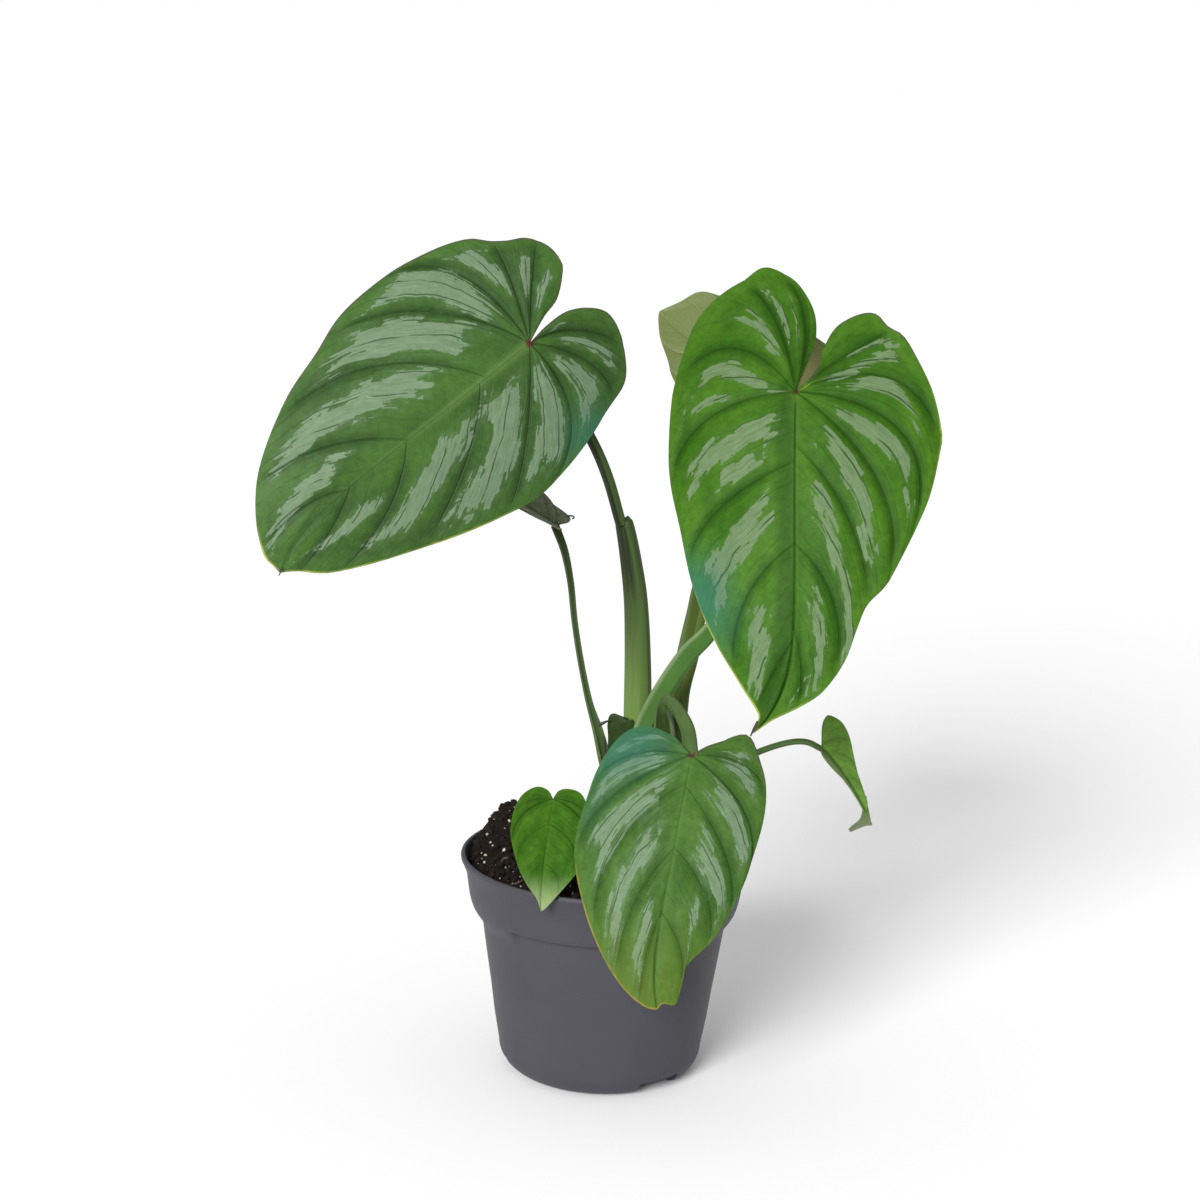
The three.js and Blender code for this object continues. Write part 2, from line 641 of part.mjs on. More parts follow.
// The bract: an empty scale leaf that stands in front of the tallest stalk
const bract = {
  name: 'bract', groove: [0.2, 1, 0],
  path: [[7, 3.5, 97], [6, 3, 115], [4.8, 3, 129], [5, 3, 140], [4.6, 3, 146], [3.8, 3.2, 149.6]],
  wide: [6, 7, 10, 11.4, 11.6, 10.6],
  deep: [2.4, 2.2, 2, 2, 1.8, 1.6],
  wing: [1.2, 1.4, 1.6, 1.6, 1.2, 0.8],
};

const plant = new THREE.Group();

function add(name, geometry, look) {
  const [colour, roughness] = look;
  const finish = new THREE.MeshStandardMaterial({ color: colour, roughness, metalness: 0 });
  const mesh = new THREE.Mesh(geometry, finish);
  mesh.name = name;
  plant.add(mesh);
}

const stems = [stalkGeometry(bract, null, socketGap)];
for (const form of leaves) {
  const leaf = new Leaf(form);
  const stalk = stalks[form.name];
  add(form.name, leaf.geometry(0), form.look);
  add(stalk.name, cut(stalkGeometry(stalk, leaf.seat(), 0), [leaf.geometry(gap)]), looks.stalk);
  stems.push(stalkGeometry(stalk, leaf.seat(), socketGap));
}
add(bract.name, stalkGeometry(bract, null, 0), looks.bract);
add('crown', cut(crownGeometry(0), stems), looks.crown);
add('soil', cut(withPerlite(soilGeometry()), [crownGeometry(gap)]), looks.soil);
add('pot', potGeometry(), looks.pot);

export default plant;
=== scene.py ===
import math

import bmesh
import bpy
import numpy as np
from mathutils import Matrix, Vector, noise


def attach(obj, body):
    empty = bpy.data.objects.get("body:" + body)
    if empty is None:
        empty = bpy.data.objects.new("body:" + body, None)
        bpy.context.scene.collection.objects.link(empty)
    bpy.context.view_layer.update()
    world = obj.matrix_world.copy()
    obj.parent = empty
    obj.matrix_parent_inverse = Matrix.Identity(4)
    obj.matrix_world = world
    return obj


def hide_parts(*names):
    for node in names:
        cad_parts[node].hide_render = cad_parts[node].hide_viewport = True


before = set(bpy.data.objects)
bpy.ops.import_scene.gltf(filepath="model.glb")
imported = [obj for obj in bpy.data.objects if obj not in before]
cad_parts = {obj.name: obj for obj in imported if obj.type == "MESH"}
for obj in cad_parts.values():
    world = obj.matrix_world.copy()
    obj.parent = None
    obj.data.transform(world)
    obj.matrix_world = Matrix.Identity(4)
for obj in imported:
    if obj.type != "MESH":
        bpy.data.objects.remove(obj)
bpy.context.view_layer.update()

MM = 0.001
ROOT = "root"

# Camera: the photograph's distance, height of aim, tilt and roll
AIM = (-5.7, 0.0, 199.4)
DISTANCE = 973.0
PITCH = 12.3
ROLL = 1.82
FOCAL = 72.0
SENSOR = 36.0

# Light: one wide soft sun from the front left and an even sky
SUN_FROM = (-0.348, -0.839, 0.419)
SUN_POWER = 4.1
SUN_WIDTH = 24.0
SKY = 0.56
FLOOR_SIZE = 60.0

# Pot sizes, as in the solids
RIM_RADIUS = 60.0
POT_HEIGHT = 92.0
LIP = 1.6
WALL = 1.4
FLOOR_THICK = 2.0
FOOT_RISE = 3.0
COLLAR_RADIUS = 57.6
COLLAR_FOOT = 67.0
COLLAR_MIDDLE = 85.0
BODY_TOP = 50.2
BODY_FOOT = 42.4
BODY_MIDDLE = 36.0
FOOT_RADIUS = 31.5
FOOT_ROUNDING = 10.5
MIDDLE_RADIUS = 14.0
FOOT_INNER = 27.5
LEDGE_REACH = 43.0
LEDGE_HEIGHT = 71.2
SLOT_TURNS = (38, 158, 278)
SLOT_SIZES = (((22.0, 18.0, 6.8), 31.5), ((20.0, 8.0, 13.2), 40.5))
HOLE_COUNT = 6
HOLE_RADIUS = 3.5
HOLE_CIRCLE = 20.8

# Soil and crown sizes, as in the solids
SOIL_EDGE = 87.0
SOIL_MOUND = 7.0
SOIL_BANK = 15.0
BANK_AT = (-43.0, 33.0)
BANK_SPREAD = 15.0
CRUMB_HIGH = 0.75
CROWN_AT = (13.0, 3.0)
CROWN_TOP = 104.0
CROWN_FOOT = 69.0
CROWN_HALF = (18.5, 16.0)

# Profile steps, outward and upward in millimetres from one place on the pot or the crown
FLOOR_TOP = FOOT_RISE + FLOOR_THICK
LEDGE_STEPS = [(0, -8), (0.6, -4), (0.9, -1.6), (1.3, -0.5), (2.2, 0), (5.2, 0), (5.6, 0.15),
               (5.85, 0.6), (6.1, 3)]
SHOULDER_STEPS = [(0, -5), (0.3, -3.4), (1, -2), (2, -0.4)]
COLLAR_STEPS = [(-4, 1.5), (-2.9, 3.4), (-2.1, 5.6), (-1.5, 8), (-1, 11), (-0.6, 14)]
LIP_STEPS = [(-1.2, -4.2), (-0.6, -2.6), (-0.12, -1.8), (0, -1.1), (-0.2, -0.4), (-0.6, 0)]
INNER_LIP_STEPS = [(0, 0), (-0.4, -0.5), (-0.6, -2.6)]
CROWN_STEPS = [(0.92, -16), (0.86, -14), (0.98, -8), (0.9, -6), (0.8, -2.5), (0.5, 0), (0.001, 0)]

# Fineness of the meshes, and the angle in degrees from which an edge is sharp
POT_SIDES = 192
POT_SHARP = 40
SOIL_SIDES = 180
SOIL_RINGS = 64
GRAIN_SHARP = 30
CROWN_SIDES = 96
CROWN_ROWS = 90
STRIP_ROWS = 30
STRIP_COLUMNS = 8
STALK_STEPS = 8
BACK_POINTS = 19
ROWS_PER_BAY = 14
EDGE_POINTS = 900
RIM_STRIDE = 3
SHARES = np.array([0, 0.008, 0.017, 0.028, 0.042, 0.06, 0.08, 0.105, 0.135, 0.17, 0.205, 0.24,
                   0.275, 0.31, 0.345, 0.38, 0.415, 0.45, 0.485, 0.52, 0.555, 0.59, 0.625, 0.66,
                   0.695, 0.73, 0.765, 0.8, 0.835, 0.87, 0.9, 0.93, 0.955, 0.975, 0.99, 1])

# A length to keep a division from zero, and a distance beyond every vein
TINY = 1e-9
FAR_AWAY = 99.0

# Blades: thickness, midrib, veins and the swelling between them
BLADE_THICK = 0.75
RIM_THICK = 0.4
RIM_BULGE = 0.4
RIB_HALF = 1.5
KEEL_DEPTH = 1.9
RIDGE_HALF = 0.7
RIDGE_HEIGHT = 0.5
SWELL_POWER = 0.65
FULL_SWELL = 30

# The halves of a blade, right and left of the midrib, with bays counted from 0 and from 20
SIGNS = (1, -1)
SIDE_BAYS = 20

# Veins of a small leaf: how many of them fan out from the sinus, their arch and lean
FAN_SHARE = 0.4
FAN_ARCH = 0.36
FAN_LEAN = 0.05

# How softly marks begin and end along the margin and along a vein
STRETCH_START = 0.04
STRETCH_END = 0.05
PATCH_START = 0.14
PATCH_END = 0.2

# Stalks, the tail of the hanging leaf, soil and roots
WING_START = 1.2
WING_FULL = 2.2
JOINT_START = 0.97
TAIL_THICK = 0.9
TAIL_BULGE = 0.4
THREAD_ASIDE = (0.31, 0.17, 0.93)
SOIL_REACH = 56.6
SOIL_CLEAR = 0.6
ROOT_SEED = 12
ROOT_RADII = [0.2, 0.4, 0.45, 0.35, 0.15]
ROOTS = [(-33, -33, 0.9, 12), (-29, -38, 2.2, 9), (-40, -14, 0.3, 7), (30, 36, 1.2, 12),
         (-12, 42, 2.8, 10), (44, -4, 1.9, 9), (-20, -45, 0.2, 8), (12, 46, 0.6, 9)]

# Surfaces: specular level, roughness and the fine veins in one bay between two main veins
FACE_GLOSS = {"leaf_left": 0.12}
DULL_FACE = 0.06
BACK_GLOSS = 0.3
BACK_ROUGH = 0.55
STALK_GLOSS = 0.14
STALK_ROUGH = 0.46
POT_GLOSS = 0.3
SOIL_GLOSS = 0.2
PLAIN_GLOSS = 0.5
VEINLETS = 3.4
BACK_VEINLETS = 5.0


# Short ways to add shader nodes to one tree
class Graph:
    def __init__(self, tree):
        self.tree = tree

    def add(self, kind, **settings):
        node = self.tree.nodes.new(kind)
        for name, value in settings.items():
            setattr(node, name, value)
        return node

    def put(self, socket, value):
        if isinstance(value, bpy.types.NodeSocket):
            self.tree.links.new(value, socket)
        elif socket.type == "RGBA":
            socket.default_value = (*value, 1.0)
        else:
            socket.default_value = value

    def fill(self, node, values):
        for key, value in values.items():
            self.put(node.inputs[key], value)
        return node

    # The first output of a node whose inputs take these values in order
    def feed(self, node, *values):
        for socket, value in zip(node.inputs, values):
            self.put(socket, value)
        return node.outputs[0]

    def math(self, operation, *values):
        return self.feed(self.add("ShaderNodeMath", operation=operation), *values)

    def chain(self, operation, values):
        result = values[0]
        for value in values[1:]:
            result = self.math(operation, result, value)
        return result

    def times(self, *values):
        return self.chain("MULTIPLY", values)

    def plus(self, *values):
        return self.chain("ADD", values)

    def mix(self, share, low, high, blend="MIX"):
        node = self.add("ShaderNodeMix", data_type="RGBA", blend_type=blend)
        return self.fill(node, {0: share, 6: low, 7: high}).outputs[2]

    # One colour with others laid over it in turn, each by its own share
    def layers(self, colour, *coats):
        for share, coat in coats:
            colour = self.mix(share, colour, coat)
        return colour

    def step(self, value, start, end, low=0.0, high=1.0):
        node = self.add("ShaderNodeMapRange", interpolation_type="SMOOTHSTEP")
        return self.feed(node, value, start, end, low, high)

    def fall(self, value, start, end):
        return self.step(value, start, end, 1.0, 0.0)

    def noise(self, place, scale, detail=2.0, rough=0.5):
        node = self.add("ShaderNodeTexNoise")
        self.fill(node, {"Vector": place, "Scale": scale, "Detail": detail, "Roughness": rough})
        return node.outputs[0]

    # Noise stretched over two values, such as across and along a vein
    def grain(self, across, count, along, steps, seed=0.0, detail=2.0, rough=0.5):
        place = self.vector(self.times(across, count), self.times(along, steps), seed)
        return self.noise(place, 1.0, detail, rough)

    # One random value for each cell of a grid over two values
    def chance(self, across, count, along, steps):
        cells = self.vector(self.math("FLOOR", self.times(across, count)),
                            self.math("FLOOR", self.times(along, steps)))
        node = self.add("ShaderNodeTexWhiteNoise", noise_dimensions="2D")
        return self.fill(node, {"Vector": cells}).outputs["Value"]

    # How far a place is from the nearest fine vein, in millimetres
    def to_veinlet(self, lane, count):
        comb = self.math("FRACT", self.times(lane, count))
        away = self.math("ABSOLUTE", self.plus(comb, -0.5))
        return self.times(away, self.fact("gauge"), 1 / count)

    def shade(self, colour, low, high, value):
        return self.mix(1.0, colour, self.step(value, 0.25, 0.75, low, high), "MULTIPLY")

    def fact(self, name):
        return self.add("ShaderNodeAttribute", attribute_name=name).outputs["Fac"]

    def vector(self, x, y, z=0.0):
        return self.feed(self.add("ShaderNodeCombineXYZ"), x, y, z)

    def place(self):
        return self.add("ShaderNodeTexCoord").outputs["Object"]

    def use(self, tree, values):
        return self.fill(self.add("ShaderNodeGroup", node_tree=tree), values).outputs

    def bump(self, height, depth):
        node = self.add("ShaderNodeBump")
        return self.fill(node, {"Height": height, "Distance": depth}).outputs[0]


KINDS = {"colour": "NodeSocketColor", "value": "NodeSocketFloat"}


def node_group(name, inputs, outputs, build):
    tree = bpy.data.node_groups.new(name, "ShaderNodeTree")
    for label, start in inputs.items():
        is_colour = isinstance(start, tuple)
        kind = KINDS["colour" if is_colour else "value"]
        socket = tree.interface.new_socket(label, in_out="INPUT", socket_type=kind)
        socket.default_value = (*start, 1.0) if is_colour else start
    for label, kind in outputs.items():
        tree.interface.new_socket(label, in_out="OUTPUT", socket_type=KINDS[kind])
    graph = Graph(tree)
    given = graph.add("NodeGroupInput").outputs
    graph.fill(graph.add("NodeGroupOutput"), build(graph, given))
    return tree


# The upper side of a blade: greens, silver strokes, veins, midrib and margin, with painted shade and
# painted light by the veins and midrib
def build_leaf_face(g, given):
    bay, share, vein, axis, far, rim = (
        g.fact(name) for name in ("bay", "share", "vein", "axis", "along", "rim"))
    seed, light, deep = given["Seed"], given["Light green"], given["Deep green"]
    place = g.place()
    wander = g.grain(bay, 1.5, share, 5.0, seed)
    lane = g.plus(bay, g.times(wander, 0.16), seed)
    broad = g.grain(bay, 0.9, share, 2.4, seed)
    strokes = g.grain(lane, 9.0, share, 3.4, detail=3.0, rough=0.6)
    fibres = g.grain(lane, 38.0, share, 7.0)
    mottle = g.noise(place, 330.0, 4.0, 0.65)

    wide_lane = g.chance(lane, 9.0, g.plus(share, g.times(wander, 0.3)), 6.5)
    thin_lane = g.chance(lane, 22.0, g.plus(share, g.times(strokes, 0.2)), 9.0)
    ragged = g.plus(g.times(g.plus(wide_lane, -0.5), given["Ragged"]), g.times(thin_lane, 0.34),
                    g.times(strokes, 0.7), g.times(mottle, 0.4), -0.72)
    field = g.plus(g.fact("patch"), ragged)
    solid = g.step(field, 0.13, 0.17)
    haze = g.times(g.step(field, -0.5, 0.2), given["Haze"])
    silver = g.times(g.math("MAXIMUM", solid, haze), given["Silver share"])

    away = g.math("DIVIDE", g.to_veinlet(lane, VEINLETS), given["Slit"])
    broken = g.grain(lane, 5.0, share, 5.0, 7.0)
    minor = g.times(g.fall(away, 0.08, 0.4), g.step(broken, 0.38, 0.5))
    fade = g.fall(share, 0.8, 1.0)
    major = g.times(g.fall(vein, 0.08, 0.55), fade)
    # Painted shade: a darker band along each main vein, in the hollow between two swellings
    vein_hollow_shade = g.times(g.fall(vein, 0.0, 4.4), fade, g.step(share, 0.02, 0.25))
    # Painted shade: a darker band on one side of the midrib
    midrib_shade = g.fall(g.math("ABSOLUTE", g.plus(axis, -3.0)), 1.0, 7.0)
    green = g.layers(
        g.mix(g.step(broad, 0.3, 0.7), given["Green"], light),
        (g.times(g.step(fibres, 0.3, 0.75), 0.3), light),
        (g.step(rim, 0.8, 5.0, 0.55, 0.0), light),
        (g.times(vein_hollow_shade, given["Vein hollow shade"]), deep),
        (g.times(midrib_shade, given["Midrib shade"]), deep))
    green = g.shade(green, 0.84, 1.14, mottle)
    pale = g.mix(g.step(fibres, 0.35, 0.7), given["Silver"], given["Silver shade"])
    pale = g.shade(pale, 0.9, 1.07, mottle)

    rib = g.times(g.math("POWER", g.fact("rib"), 0.6), given["Rib share"],
                  g.step(far, 0.2, 0.75, 1.0, 0.05))
    # Painted light: a lighter stripe on the midrib's wall that faces the lamp
    beside = g.times(g.step(axis, -2.4, -1.0), g.fall(axis, -0.9, -0.2), given["Painted light share"])
    crease = g.times(g.fall(g.math("ABSOLUTE", axis), 0.12, 0.55), g.step(far, 0.0, 0.06),
                     given["Crease"])
    edge = g.fall(rim, 0.25, 0.85)
    patchy = g.step(g.noise(place, 90.0), 0.35, 0.6, 0.35, 1.0)
    near = g.math("DIVIDE", g.fact("sinus"), given["Joint size"])
    colour = g.layers(
        g.mix(silver, green, pale),
        (g.times(minor, g.plus(g.times(silver, 0.72), 0.16)), deep),
        (g.times(major, given["Vein share"]), deep),
        (g.times(g.fact("tint"), 0.6), given["Tint"]),
        (g.times(g.step(far, given["Tip start"], 1.0), given["Tip share"]), given["Tip"]),
        (rib, given["Rib"]),
        (beside, light),
        (crease, deep),
        (g.times(edge, g.fact("pale"), patchy), given["Margin"]),
        (g.times(edge, g.fact("purple"), 0.8), given["Margin shade"]),
        (g.times(g.fall(near, 0.5, 1.9), given["Joint share"]), given["Joint"]))
    height = g.plus(g.times(major, -0.24), g.times(minor, -0.08), g.times(solid, 0.03),
                    g.times(fibres, 0.03), g.times(mottle, 0.08), g.times(crease, -0.2))
    rough = g.plus(g.times(solid, 0.04), g.times(broad, 0.08), 0.46)
    return {"Color": colour, "Roughness": rough, "Height": height}


# The lower side of a blade: paler, with the veins raised and lighter
def build_leaf_back(g, given):
    bay, share, rib = g.fact("bay"), g.fact("share"), given["Rib"]
    broad = g.grain(bay, 0.8, share, 2.0, given["Seed"])
    fibres = g.grain(bay, 24.0, share, 8.0, given["Seed"])
    minor = g.fall(g.to_veinlet(bay, BACK_VEINLETS), 0.05, 0.35)
    major = g.fall(g.fact("vein"), 0.2, 0.8)
    colour = g.layers(
        g.mix(broad, given["Green"], given["Light green"]),
        (g.times(fibres, 0.3), rib),
        (g.plus(g.times(major, 0.5), g.times(minor, 0.15)), rib),
        (g.times(g.fact("rib"), 0.8), rib),
        (g.step(g.fact("rim"), 0.3, 1.0, 0.7, 0.0), given["Margin"]),
        (g.math("MINIMUM", g.fact("tint"), 0.9), given["Tint"]))
    height = g.plus(g.times(major, 0.2), g.times(minor, 0.06), g.times(fibres, 0.04))
    return {"Color": colour, "Height": height}


# A stalk: two colours from foot to top, long streaks, light wings and one side made lighter as
# painted light
def build_stalk_skin(g, given):
    reach, side, seed = g.fact("reach"), g.fact("side"), given["Seed"]
    streaks = g.grain(side, 9.0, reach, 5.0, seed, 3.0, 0.6)
    mottle = g.grain(g.fact("turn"), 5.0, reach, 14.0, g.plus(seed, 4.0))
    rise = g.plus(reach, g.times(g.plus(mottle, -0.5), 0.12))
    # Painted light: one side of the stalk lighter, as if lit from that side
    painted_lit_side = g.step(g.times(side, given["Painted light side"]), 0.3, 0.75)
    colour = g.layers(
        g.mix(g.step(rise, given["Turn low"], given["Turn high"]), given["Foot"], given["Top"]),
        (g.step(streaks, 0.42, 0.7, 0.0, 0.45), given["Streak"]),
        (g.times(painted_lit_side, given["Painted light share"]), given["Wing"]),
        (g.times(g.fact("wing"), given["Wing share"]), given["Wing"]),
        (g.step(g.fact("joint"), 0.0, 1.0, 0.0, 0.8), given["Joint"]))
    height = g.plus(g.times(streaks, 0.12), g.times(mottle, 0.04))
    return {"Color": g.shade(colour, 0.9, 1.1, mottle), "Height": height}


LEAF_FACE = node_group("Leaf face", {
    "Green": (0.04, 0.11, 0.02), "Light green": (0.06, 0.15, 0.03), "Deep green": (0.02, 0.06, 0.01),
    "Silver": (0.2, 0.3, 0.2), "Silver shade": (0.15, 0.24, 0.14), "Silver share": 0.96,
    "Haze": 0.1, "Vein hollow shade": 0.6, "Ragged": 0.5, "Slit": 1.0, "Vein share": 0.6,
    "Rib": (0.15, 0.25, 0.06), "Rib share": 0.8, "Painted light share": 0.0, "Crease": 0.7,
    "Margin": (0.25, 0.3, 0.05), "Margin shade": (0.07, 0.05, 0.05),
    "Joint": (0.06, 0.02, 0.014), "Joint share": 0.9, "Joint size": 1.0,
    "Tint": (0.02, 0.12, 0.1), "Tip": (0.2, 0.28, 0.06), "Tip share": 0.0, "Tip start": 0.55,
    "Midrib shade": 0.0, "Seed": 0.0,
}, {"Color": "colour", "Roughness": "value", "Height": "value"}, build_leaf_face)
LEAF_BACK = node_group("Leaf back", {
    "Green": (0.1, 0.16, 0.05), "Light green": (0.13, 0.19, 0.07), "Rib": (0.22, 0.28, 0.12),
    "Margin": (0.2, 0.24, 0.08), "Tint": (0.12, 0.17, 0.07), "Seed": 0.0,
}, {"Color": "colour", "Height": "value"}, build_leaf_back)
STALK_SKIN = node_group("Stalk skin", {
    "Foot": (0.12, 0.2, 0.05), "Top": (0.04, 0.06, 0.02), "Streak": (0.2, 0.28, 0.1),
    "Wing": (0.2, 0.3, 0.09), "Wing share": 0.6, "Joint": (0.12, 0.06, 0.03), "Painted light side": 1.0,
    "Painted light share": 0.0, "Turn low": 0.3, "Turn high": 0.9, "Seed": 0.0,
}, {"Color": "colour", "Height": "value"}, build_stalk_skin)


def new_material(name):
    material = bpy.data.materials.new(name)
    material.use_nodes = True
    return material, Graph(material.node_tree), material.node_tree.nodes["Principled BSDF"]


# Gives a shader its colour, roughness, gloss and a relief with a depth in millimetres
def dress(g, shader, colour, rough, relief, depth, gloss=PLAIN_GLOSS):
    shader.inputs["Specular IOR Level"].default_value = gloss
    g.fill(shader, {"Base Color": colour, "Roughness": rough,
                    "Normal": g.bump(relief, depth * MM)})


# A material whose colour and relief come from a node group
def skin_material(name, group, values, gloss, rough=None):
    material, g, shader = new_material(name)
    made = g.use(group, values)
    rough = made["Roughness"] if rough is None else rough
    dress(g, shader, made["Color"], rough, made["Height"], 1.0, gloss)
    return material


def stalk_material(name, values):
    return skin_material(name, STALK_SKIN, values, STALK_GLOSS, STALK_ROUGH)


# Moulded plastic with a faint grain and soft blotches
def pot_material():
    material, g, shader = new_material("pot_plastic")
    place = g.place()
    blotch = g.noise(place, 28.0, 3.0)
    grain = g.noise(place, 2600.0, 2.0, 0.6)
    colour = g.mix(g.step(blotch, 0.3, 0.7), (0.038, 0.037, 0.047), (0.044, 0.043, 0.054))
    colour = g.mix(g.times(grain, 0.25), colour, (0.054, 0.053, 0.063))
    dress(g, shader, colour, g.plus(g.times(blotch, 0.1), 0.5), grain, 0.06, POT_GLOSS)
    return material


def soil_material(name, dark, light, rough=0.95):
    material, g, shader = new_material(name)
    grain = g.noise(g.place(), 900.0, 4.0, 0.7)
    colour = g.mix(g.plus(g.times(g.fact("tone"), 0.6), g.times(grain, 0.4)), dark, light)
    dress(g, shader, colour, rough, grain, 0.5, SOIL_GLOSS)
    return material


def crown_material():
    material, g, shader = new_material("crown_skin")
    rings = g.noise(g.vector(1.0, 2.0, g.times(g.fact("reach"), 9.0)), 1.0)
    spots = g.noise(g.place(), 260.0, 3.0, 0.6)
    colour = g.mix(g.step(rings, 0.4, 0.6), (0.06, 0.085, 0.03), (0.09, 0.075, 0.04))
    colour = g.mix(g.step(spots, 0.5, 0.7, 0.0, 0.6), colour, (0.05, 0.035, 0.02))
    dress(g, shader, colour, 0.6, spots, 0.4)
    return material


def plain_material(name, colour, other, scale, rough):
    material, g, shader = new_material(name)
    patches = g.noise(g.place(), scale, 3.0, 0.6)
    dress(g, shader, g.mix(patches, colour, other), rough, patches, 0.1)
    return material


def new_object(name, data):
    made = bpy.data.objects.new(name, data)
    bpy.context.scene.collection.objects.link(made)
    return made


def smooth_all(mesh, sharp=None):
    mesh.polygons.foreach_set("use_smooth", np.ones(len(mesh.polygons), bool))
    if sharp is not None:
        mesh.set_sharp_from_angle(angle=math.radians(sharp))


# A mesh object in millimetres, with one value per point for each named fact
def add_piece(name, points, faces, materials, slot, replaces=(), facts=None, face_slots=None,
              sharp=None):
    mesh = bpy.data.meshes.new(name)
    mesh.from_pydata((np.asarray(points) * MM).tolist(), [], faces)
    for fact, values in (facts or {}).items():
        layer = mesh.attributes.new(fact, "FLOAT", "POINT")
        layer.data.foreach_set("value", np.asarray(values, np.float32))
    for material in materials:
        mesh.materials.append(material)
    if face_slots is not None:
        mesh.polygons.foreach_set("material_index", np.asarray(face_slots, np.int32))
    smooth_all(mesh, sharp)
    mesh.update()
    piece = new_object(name, mesh)
    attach(piece, ROOT)
    if replaces:
        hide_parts(*replaces)
    return piece


# Adds values to the list that each named fact keeps
def note(facts, known):
    for name, values in known.items():
        facts.setdefault(name, []).extend(np.ravel(values))


def unit(vectors, least=0.0):
    return vectors / (np.linalg.norm(vectors, axis=-1, keepdims=True) + least)


def full_turn(sides):
    return [2 * math.pi * k / sides for k in range(sides)]


# Points of a smooth line at fractional places along its stops
def through(stops, spots, open_ends=False):
    stops = np.array(stops, float)
    k = np.minimum(spots.astype(int), len(stops) - 2)
    t = (spots - k)[:, None]
    first, end = stops[0], stops[-1]
    if open_ends:
        first, end = 2 * first - stops[1], 2 * end - stops[-2]
    padded = np.vstack([first, stops, end])
    before, here, there, after = (padded[k + i] for i in range(4))
    leave, arrive = (there - before) / 2, (after - here) / 2
    return ((2 * here - 2 * there + leave + arrive) * t ** 3
            + (3 * there - 3 * here - 2 * leave - arrive) * t ** 2 + leave * t + here)


# A smooth line with some steps between each two stops: its places, points and directions
def course(stops, steps):
    last = len(stops) - 1
    spots = np.linspace(0, last, last * steps + 1)
    line = through(stops, spots, open_ends=True)
    return spots, line, unit(np.gradient(line, axis=0))


# Values given at whole numbers, joined smoothly and without overshoot
def smooth_table(values, spots):
    y = np.array(values, float)
    step = np.diff(y)
    slope = np.zeros(len(y))
    slope[0], slope[-1] = step[0], step[-1]
    for k in range(1, len(y) - 1):
        if step[k - 1] * step[k] > 0:
            slope[k] = 2 * step[k - 1] * step[k] / (step[k - 1] + step[k])
    k = np.clip(np.floor(spots).astype(int), 0, len(y) - 2)
    t = spots - k
    return (y[k] * (1 + 2 * t) * (1 - t) ** 2 + slope[k] * t * (1 - t) ** 2
            + y[k + 1] * t * t * (3 - 2 * t) + slope[k + 1] * t * t * (t - 1))


def rising(value, start, end):
    t = np.clip((value - start) / (end - start), 0, 1)
    return t * t * (3 - 2 * t)


def grid_faces(first, rows, wide, flip=False, closed=False):
    faces = []
    for row in range(rows - 1):
        for k in range(wide if closed else wide - 1):
            a, b = first + row * wide + k, first + row * wide + (k + 1) % wide
            quad = (a, b, b + wide, a + wide)
            faces.append(quad[::-1] if flip else quad)
    return faces


# Faces of a tube made of closed rings, with a cap at each end
def tube_faces(rows, sides):
    caps = [tuple(range(sides))[::-1], tuple(range((rows - 1) * sides, rows * sides))]
    return grid_faces(0, rows, sides, closed=True) + caps


